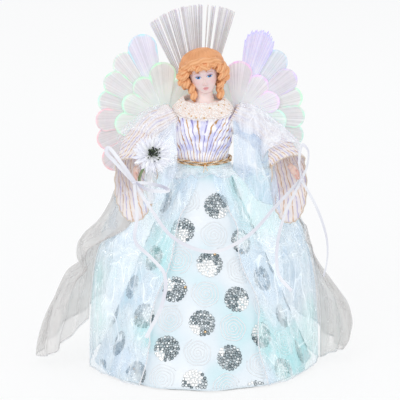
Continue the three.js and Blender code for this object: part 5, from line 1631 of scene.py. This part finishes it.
def lock(heap, stops, thick, taper, waves, reach, phase=0.0):
    """A moulded ringlet: a round lock winding about its own line, with painted shade in its grooves and a
    painted highlight on its crests.
    """
    spine = smooth_line(stops, LOCK_STEPS)
    line = []
    across = None
    count = len(spine)
    for i, middle in enumerate(spine):
        way = (spine[min(i + 1, count - 1)] - spine[max(i - 1, 0)]).normalized()
        if across is None:
            across = way.orthogonal()
        across = (across - way * across.dot(way)).normalized()
        turn = math.tau * waves * i / (count - 1) + phase
        line.append(middle + (across * math.cos(turn) + way.cross(across) * math.sin(turn)) * reach)
    points, faces = tube(line, lambda t: thick * along(taper, t), LOCK_SIDES)
    shades = []
    for i in range(count):
        for k in range(LOCK_SIDES):
            here = i * LOCK_SIDES + k
            # Painted shade towards the lock's line and in its grooves, and a painted highlight on its crests
            groove = 0.5 + 0.5 * math.cos(LOCK_GROOVES * math.tau * k / LOCK_SIDES + i * 0.3)
            crest = ease((points[here] - spine[i]).length, thick * 0.55, thick + reach)
            tone = mix(HAIR_PAINTED_SHADE, HAIR_CREST, min(1.0, 0.18 + 0.9 * crest))
            tone = mix(tone, HAIR_PAINTED_SHADE, 0.45 * (1 - groove))
            shades.append(mix(tone, HAIR_PAINTED_HIGHLIGHT, 0.6 * groove * crest))
            points[here] = line[i] + (points[here] - line[i]) * (0.86 + 0.17 * groove)
    heap.put((points, faces), shades)


def hair_cap():
    """The crown's strands, which sweep down from its middle and open over the face; and their shades, with
    painted shade where they sink.
    """
    points, shades = [], []
    for j in range(CAP_ROWS + 1):
        fall = math.pi * CAP_FALL * j / CAP_ROWS
        for i in range(CAP_COLUMNS):
            spin = math.tau * i / CAP_COLUMNS
            way = around(spin, math.sin(fall), math.cos(fall))
            # Strands sway to one side and back as they come down
            sway = 7 * math.sin(2.2 * fall) + 6 * drift(way.x * 8, way.y * 8, way.z * 8, 4)
            strand = 0.6 * math.sin(19 * spin + sway) + 0.4 * math.sin(47 * spin - 2 * sway)
            bend = 1.6 * math.sin(2 * spin) + 3 * drift(way.x * 8, way.y * 8, way.z * 8, 5)
            wave = math.sin(9 * fall + bend)
            proud = (0.3 * strand + 0.2 * wave) * ease(fall, 0.1, 0.7)
            opening = ease(-way.y, 0.55, 0.75) * ease(fall, 0.95, 1.3)
            brow = ease(-way.y, 0.1, 0.7) * hump(fall, 0.95, 0.32)
            spot = CAP_MIDDLE + Vector(r * w for r, w in zip(CAP_RADII, way)) + way * proud
            spot.y += 9.0 * opening - 4.2 * brow
            points.append(on_head(*spot))
            # Sunk strands are painted in shade
            shades.append(mix(HAIR_PAINTED_SHADE, HAIR_CREST, min(1.0, 0.74 + 0.12 * strand + 0.12 * wave)))
    end = CAP_ROWS * CAP_COLUMNS
    caps = [tuple(range(CAP_COLUMNS)), tuple(range(end, end + CAP_COLUMNS))]
    return (points, grid_faces(CAP_COLUMNS, CAP_ROWS, closed=True) + caps), shades


def add_fringe(heap):
    """Two rows of locks under the roll, the hind row first."""
    for behind in (1.3, 0.0):
        for k, (root, tip, low) in enumerate(FRINGE):
            root, tip, low = root + 1.6 * behind, tip + 1.9 * behind, low + 2.2 * behind
            curve = 1 - (root / 17) ** 2
            bow_out = 1.3 if k % 2 else -1.3
            stops = [
                (root * 0.92, -11.0 * curve - 1.4, 15.2),
                (root + bow_out, -12.4 * curve - 1.9 + behind, 12.0),
                (mix(root, tip, 0.6) - bow_out, -12.4 * curve - 2.1 + behind, 9.2),
                (tip, -11.6 * curve - 1.9 + behind, low),
            ]
            lock(heap, [on_head(*p) for p in stops], FRINGE_RADIUS, FRINGE_TAPER, 1.3, 0.5, k * 1.9)


def make_hair():
    heap = Heap()
    heap.put(*hair_cap())
    lock(heap, [on_head(*p) for p in BROW_ROLL], BROW_ROLL_RADIUS, BROW_ROLL_TAPER, 5, 0.35)
    add_fringe(heap)
    for side, phase, inward in ((-1, 0, 0.0), (1, 1.7, RIGHT_RINGLETS_IN)):
        for k, (thick, stops) in enumerate(RINGLETS):
            placed = [on_head(side * x - inward, y, z) for x, y, z in stops]
            lock(heap, placed, thick, CURL_TAPER, RINGLET_WAVES, RINGLET_REACH, phase + k * 2.1)
    for thick, stops in NECK_RINGLETS:
        lock(heap, stops, thick, CURL_TAPER, 2.6, 0.7)
    for k in range(BACK_RINGLETS):
        x = (k - 1) * BACK_RINGLET_SPACING
        nearer = abs(x) * 0.2
        stops = [(x, 19.5 - nearer, 5), (x * 1.1, 20.2 - nearer, -3), (x, 18.6, -10), (x * 0.8, 15.5, -16)]
        lock(heap, [on_head(*p) for p in stops], BACK_RINGLET_RADIUS, CURL_TAPER, 3.2, 1.1, k * 2.0)
    piece("hair", heap, HAIR)


# Wings

HUB_ACROSS, HUB_HEIGHT = 32.0, 224.3
# Each layer's petals: number, angles of the first and last, shortest length and what the longest adds,
# half angle of one petal, and how far back the layer stands
WING_LAYERS = {
    "inner": {"count": 4, "first": 4, "last": 99, "shortest": 42.5, "extra": 9, "half": 17.2, "front": 20.6},
    "outer": {
        "count": 7, "first": 18, "last": 129, "shortest": 63.5, "extra": 16.5, "half": 11.2, "front": 23.4,
    },
}
NECK_PETAL_LENGTH = 30
PETAL_ROOT, PETAL_THICKNESS, PETAL_STAGGER = 9.0, 0.8, 1.4
PETAL_COLUMNS = 44
# Shares of a fibre's length, closer towards the rim
PETAL_STOPS = [0, 0.12, 0.25, 0.4, 0.55, 0.68, 0.78, 0.86, 0.91, 0.945, 0.97, 0.985, 1.0]
# One petal has frayed: its fibres end unevenly
LOOSE_PETAL = "outer_petal_right_1"
# Light at each petal's rim, and the colour of its fibres, from the first petal to the last
GLOW = {
    "inner_left": ["#A8FFC4", "#A4FFC8", "#AEFFD0", "#B2FFD2"],
    "inner_right": ["#FF9CF0", "#F0B4FF", "#F4C6FF", "#B4FFE0"],
    "outer_left": ["#8FE8F0", "#B8F4D0", "#A4F8C4", "#B8F6DC", "#FFB8C4", "#FFB4C0", "#FFB2B8"],
    "outer_right": ["#A8A4FF", "#A8E4F4", "#D0BCF8", "#A8FFC8", "#A4F8D0", "#A8F4DC", "#78DCE8"],
}
FILL = {
    "inner_left": ["#E2E2E0", "#E6E4E4", "#E8EAE6", "#EAEFEA"],
    "inner_right": ["#E0DDE2", "#E8E5E8", "#EAE7EC", "#E6EEEA"],
    "outer_left": ["#E0DDEA", "#E2E0E2", "#E2E0E1", "#E0DEDF", "#E0DDDE", "#DFDCDD", "#D8D6D8"],
    "outer_right": ["#D9D5EE", "#D9DDE4", "#DDDAE0", "#E3E2E2", "#E0DEDF", "#DEDDDD", "#A9DCE4"],
}
ROOT_LIGHT = linear("#F4FFF8")


def fan_reach(slope, length, lean):
    """Length of a petal's fibre at a lean from its middle: straight sides, then a round end."""
    half = slope * length / (1 + slope)
    middle = length - half
    return middle * math.cos(lean) + math.sqrt(max(0.0, half ** 2 - (middle * math.sin(lean)) ** 2))


def petal(label, layer, spread, number):
    """A fan of fibres, lit along its rim and at its root, each in a tone of its own."""
    name, side = f"{label}_petal_{spread}_{number + 1}", SIDES[spread]
    fill, glow = (linear(hues[f"{label}_{spread}"][number]) for hues in (FILL, GLOW))
    fan = number / (layer["count"] - 1)
    length = layer["shortest"] + layer["extra"] * (1.7 * max(0.0, fan) - 1) ** 2
    turn = side * math.radians(mix(layer["first"], layer["last"], fan))
    half = math.radians(layer["half"])
    slope = math.tan(half)
    front = layer["front"] + (number % 2) * PETAL_STAGGER + 0.5
    loose = 1.0 if name == LOOSE_PETAL else 0.0
    fibres = range(PETAL_COLUMNS + 1)
    tones = [dice.uniform(-0.1, 0.08) + (0.14 if dice.random() < 0.16 else 0.0) for _ in fibres]
    trims = [dice.uniform(0.0, 1.0) for _ in fibres]
    points, shades, glows, lit = [], [], [], []
    for t in PETAL_STOPS:
        for i in fibres:
            lean = half * (2 * i / PETAL_COLUMNS - 1)
            reach = fan_reach(slope, length, lean) * (1.0 + 0.05 * loose * trims[i] ** 2)
            far = mix(PETAL_ROOT / math.cos(lean), reach, t)
            x, z = far * math.sin(lean), far * math.cos(lean)
            ridge = 0.16 * math.cos(math.pi * i) + 0.3 * loose * (trims[i] - 0.5) * t
            swell = 0.12 * math.sin(2.2 * math.pi * i / PETAL_COLUMNS + number) * t
            points.append(Vector((
                side * HUB_ACROSS + x * math.cos(turn) + z * math.sin(turn),
                front + ridge + swell,
                HUB_HEIGHT - x * math.sin(turn) + z * math.cos(turn),
            )))
            from_side = (half - abs(lean)) * far
            rim = min(reach - far, from_side * 1.2 + 9 * (1 - ease(t, 0.55, 0.85)))
            patchy = 0.35 + 0.65 * ease(drift(x, z, number * 7 + side, 6), -0.35, 0.3)
            edge = (1 - ease(rim, 0.6, 2.7)) * patchy
            root = 1 - ease(far, 0.2 * length, 0.8 * length)
            shade = tuple(min(1.0, c * (1 + tones[i])) for c in mix(fill, ROOT_LIGHT, 0.7 * root))
            shades.append(mix(shade, glow, 0.45 * edge))
            glows.append(mix(mix(fill, glow, 0.1), glow, edge))
            lit.append(0.14 + 0.17 * edge + 0.15 * root)
    blade = piece(
        name, (points, grid_faces(PETAL_COLUMNS, len(PETAL_STOPS) - 1)), FIBRE,
        [name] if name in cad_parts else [], traits={"shade": shades, "glow": glows, "lit": lit},
    )
    thicken(blade, PETAL_THICKNESS)


def make_wings():
    for label, layer in WING_LAYERS.items():
        for spread in SIDES:
            for number in range(layer["count"]):
                petal(label, layer, spread, number)
    # Behind the neck one short petal on each side leans in and closes the wings, in its layer's last colours
    for spread in SIDES:
        petal("inner", {**WING_LAYERS["inner"], "shortest": NECK_PETAL_LENGTH}, spread, -1)


# Halo

HALO_MIDDLE, HALO_RADIUS = 219.3, 108.0
# Where the fan's clumps start and end, in degrees
HALO_CLUMPS = [(-27, -22.1), (-21.1, -17.3), (-16.6, -10.7), (-9.8, 1), (3.2, 3.9), (5.1, 7.4), (9, 17.5)]
HALO_LEVELS, HALO_LEVEL_STEP, HALO_FRONT, HALO_SPACING = 3, 0.31, 24.98, 0.32
# How far out a fibre's stops lie, short of its cut end; then its own radius and sides
HALO_STOPS, HALO_FIBRE_RADIUS, HALO_FIBRE_SIDES = (16.0, 40.0, 64.0, 88.0), 0.25, 4
HALO_SHADES = [linear("#DCD9D8"), linear("#CECAC9"), linear("#EFEEF0"), linear("#C6C1BF")]
HALO_SHINE, HALO_VIOLET, HALO_VIOLET_SHARE = linear("#EDEDF2"), linear("#C9C4FF"), 0.3
# The strip that holds the roots: its ends in degrees, and the corners of its section as radius and depth
STRIP_ENDS, STRIP_ROWS = (-29, 20), 24
STRIP_SECTION = ((8, 24.85), (18, 24.85), (18, 25.75), (8, 25.75))


def halo_spot(angle, radius, y):
    return Vector((radius * math.sin(angle), y, HALO_MIDDLE + radius * math.cos(angle)))


def make_halo():
    heap = Heap()
    glows, lit = [], []
    for start, end in HALO_CLUMPS:
        count = max(2, round((end - start) / HALO_SPACING))
        for level in range(HALO_LEVELS):
            for k in range(count):
                place = k + 0.5 + dice.uniform(-0.3, 0.3) + level / 3 - 0.33
                degrees = start + place * (end - start) / count
                angle = math.radians(min(end, max(start, degrees)))
                tip = HALO_RADIUS - 5 * (math.degrees(angle) / 25) ** 2 - 2.2 * dice.random() ** 2
                y = HALO_FRONT + HALO_LEVEL_STEP * level
                line = [halo_spot(angle, radius, y) for radius in (*HALO_STOPS, tip)]
                heap.put(tube(line, HALO_FIBRE_RADIUS, HALO_FIBRE_SIDES), dice.choice(HALO_SHADES))
                shine = HALO_VIOLET if dice.random() < HALO_VIOLET_SHARE else HALO_SHINE
                for stop in range(len(line)):
                    cut_end = 0.1 if stop == len(HALO_STOPS) else 0
                    glows += [shine] * HALO_FIBRE_SIDES
                    lit += [0.05 + 0.2 * dice.random() ** 4 + cut_end] * HALO_FIBRE_SIDES
    strip = []
    for k in range(STRIP_ROWS + 1):
        angle = math.radians(mix(*STRIP_ENDS, k / STRIP_ROWS))
        strip += [halo_spot(angle, radius, y) for radius, y in STRIP_SECTION]
    heap.put((strip, ring_faces(STRIP_ROWS + 1, len(STRIP_SECTION))), linear("#E6E4E2"))
    glows += [HALO_SHINE] * len(strip)
    lit += [0.03] * len(strip)
    light = {"glow": glows, "lit": lit}
    piece("halo_fan", heap, FIBRE, ["halo_fan"], traits=light, smooth=False)


# Back of the wing hub

HUB_END_RADIUS = 15.0
BEAD_LINE_RADIUS, BEAD_RADIUS, BEAD_STEPS = 8.6, 0.7, 96
SCREW_RADII, SLOT_HALF_LENGTH, SLOT_RADIUS, SLOT_LIFT = (2.7, 1.1, 2.7), 1.6, 0.28, Vector((0, 0.95, 0))
# The slots are dark tubes laid on the screw heads: painted shade for their recesses
SCREW_SHADE, SLOT_PAINTED_SHADOW = linear("#C3C5C6"), linear("#4A4C4E")


def make_hub_fittings():
    """A moulded bead round the hub's back and the four screws that clamp the fibres."""
    low, high = (Vector(corner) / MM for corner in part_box("wing_hub"))
    middle, back = (low + high) / 2, high.y
    straight = (high.x - low.x) / 2 - HUB_END_RADIUS
    rim = []
    for k in range(BEAD_STEPS):
        turn = math.tau * k / BEAD_STEPS
        x = middle.x + math.copysign(straight, math.cos(turn)) + BEAD_LINE_RADIUS * math.cos(turn)
        rim.append(Vector((x, back, middle.z + BEAD_LINE_RADIUS * math.sin(turn))))
    bead, screws = Heap(), Heap()
    bead.put(tube(rim, BEAD_RADIUS, 6, closed=True), linear("#E6E6E4"))
    for x in (-straight, -straight / 3, straight / 3, straight):
        spot = Vector((middle.x + x, back, middle.z))
        screws.put(ball(spot, SCREW_RADII, 16), SCREW_SHADE)
        for turn in (x, x + math.pi / 2):
            way = Vector((math.cos(turn), 0, math.sin(turn))) * SLOT_HALF_LENGTH
            slot = [spot + share * way + SLOT_LIFT for share in (-1, 0, 1)]
            screws.put(tube(slot, SLOT_RADIUS, 5), SLOT_PAINTED_SHADOW)
    piece("hub_bead", bead, HUB_PLASTIC)
    piece("hub_screws", screws, SCREW)


# The part's own nodes that stay in view

# Each finish: name, two colours, roughness, grit and further values, then the nodes that wear it
NODE_FINISHES = (
    # Waxy off-white plastic with a dull shine
    (
        "moulded_polypropylene", "#EDEDEB", "#E2E2E0", 0.5, 0.5, {"IOR": 1.49},
        ["skirt_cone", "torso_form", "wing_hub"],
    ),
    # Grey plastic with the mould's fine grit
    (
        "moulded_grey_abs", "#B9BCBF", "#AEB1B5", 0.45, 0.4, {"IOR": 1.54},
        ["lamp_housing", "tree_socket", "battery_box", "battery_cover"],
    ),
    # The same in black, so that rubbed patches show paler
    ("moulded_black_abs", "#232528", "#303338", 0.42, 0.4, {"IOR": 1.54}, ["switch_knob", "fibre_ferrule"]),
    # Green lacquer with a satin shine
    ("glass_epoxy_board", "#2F6A45", "#3C7D54", 0.4, 0.8, {"IOR": 1.55}, ["led_board"]),
    # Clear casting that passes half of the light
    (
        "clear_epoxy_lamp", "#DDEEF8", "#F2FAFF", 0.16, 0.6, {"Transmission Weight": 0.5, "IOR": 1.54},
        ["led_left", "led_right"],
    ),
    # Soft black sleeving, half matt
    ("soft_pvc_lead", "#2A2A2C", "#3A3A3E", 0.5, 0.5, {"IOR": 1.53}, ["supply_lead"]),
    # Bright plated cans
    ("nickel_plated_steel", "#B4B2AE", "#C9C8C5", 0.3, 0.5, {"Metallic": 1.0}, ["cell_left", "cell_right"]),
    # Paper tape wound on wire: dull, skin-coloured in the arms and green on the stem
    ("paper_wrapped_wire", "#E8D5CC", "#F1E2DA", 0.7, 0.6, {}, ["arm_wire"]),
    ("paper_wrapped_stem", "#7E9468", "#95A87E", 0.7, 0.6, {}, ["flower_stem"]),
    # Fibres side by side: glassy white
    ("acrylic_fibre_bundle", "#E3ECEC", "#F3FAFA", 0.3, 0.7, {"IOR": 1.49}, ["fibre_trunk"]),
)


def finish_nodes():
    for *values, nodes in NODE_FINISHES:
        finish = moulded(*values)
        for node in nodes:
            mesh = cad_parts[node].data
            mesh.materials.clear()
            mesh.materials.append(finish)


set_camera()
light_the_stage()
lay_floor()
tie_ribbons()
make_underskirt()
make_overskirt()
make_tails()
make_bodice()
make_waistband()
make_waist_flounce()
make_waist_braid()
make_collar()
make_sleeves()
make_shawls()
make_falls()
make_hands()
make_flower()
make_face()
make_hair()
make_wings()
make_halo()
make_hub_fittings()
finish_nodes()
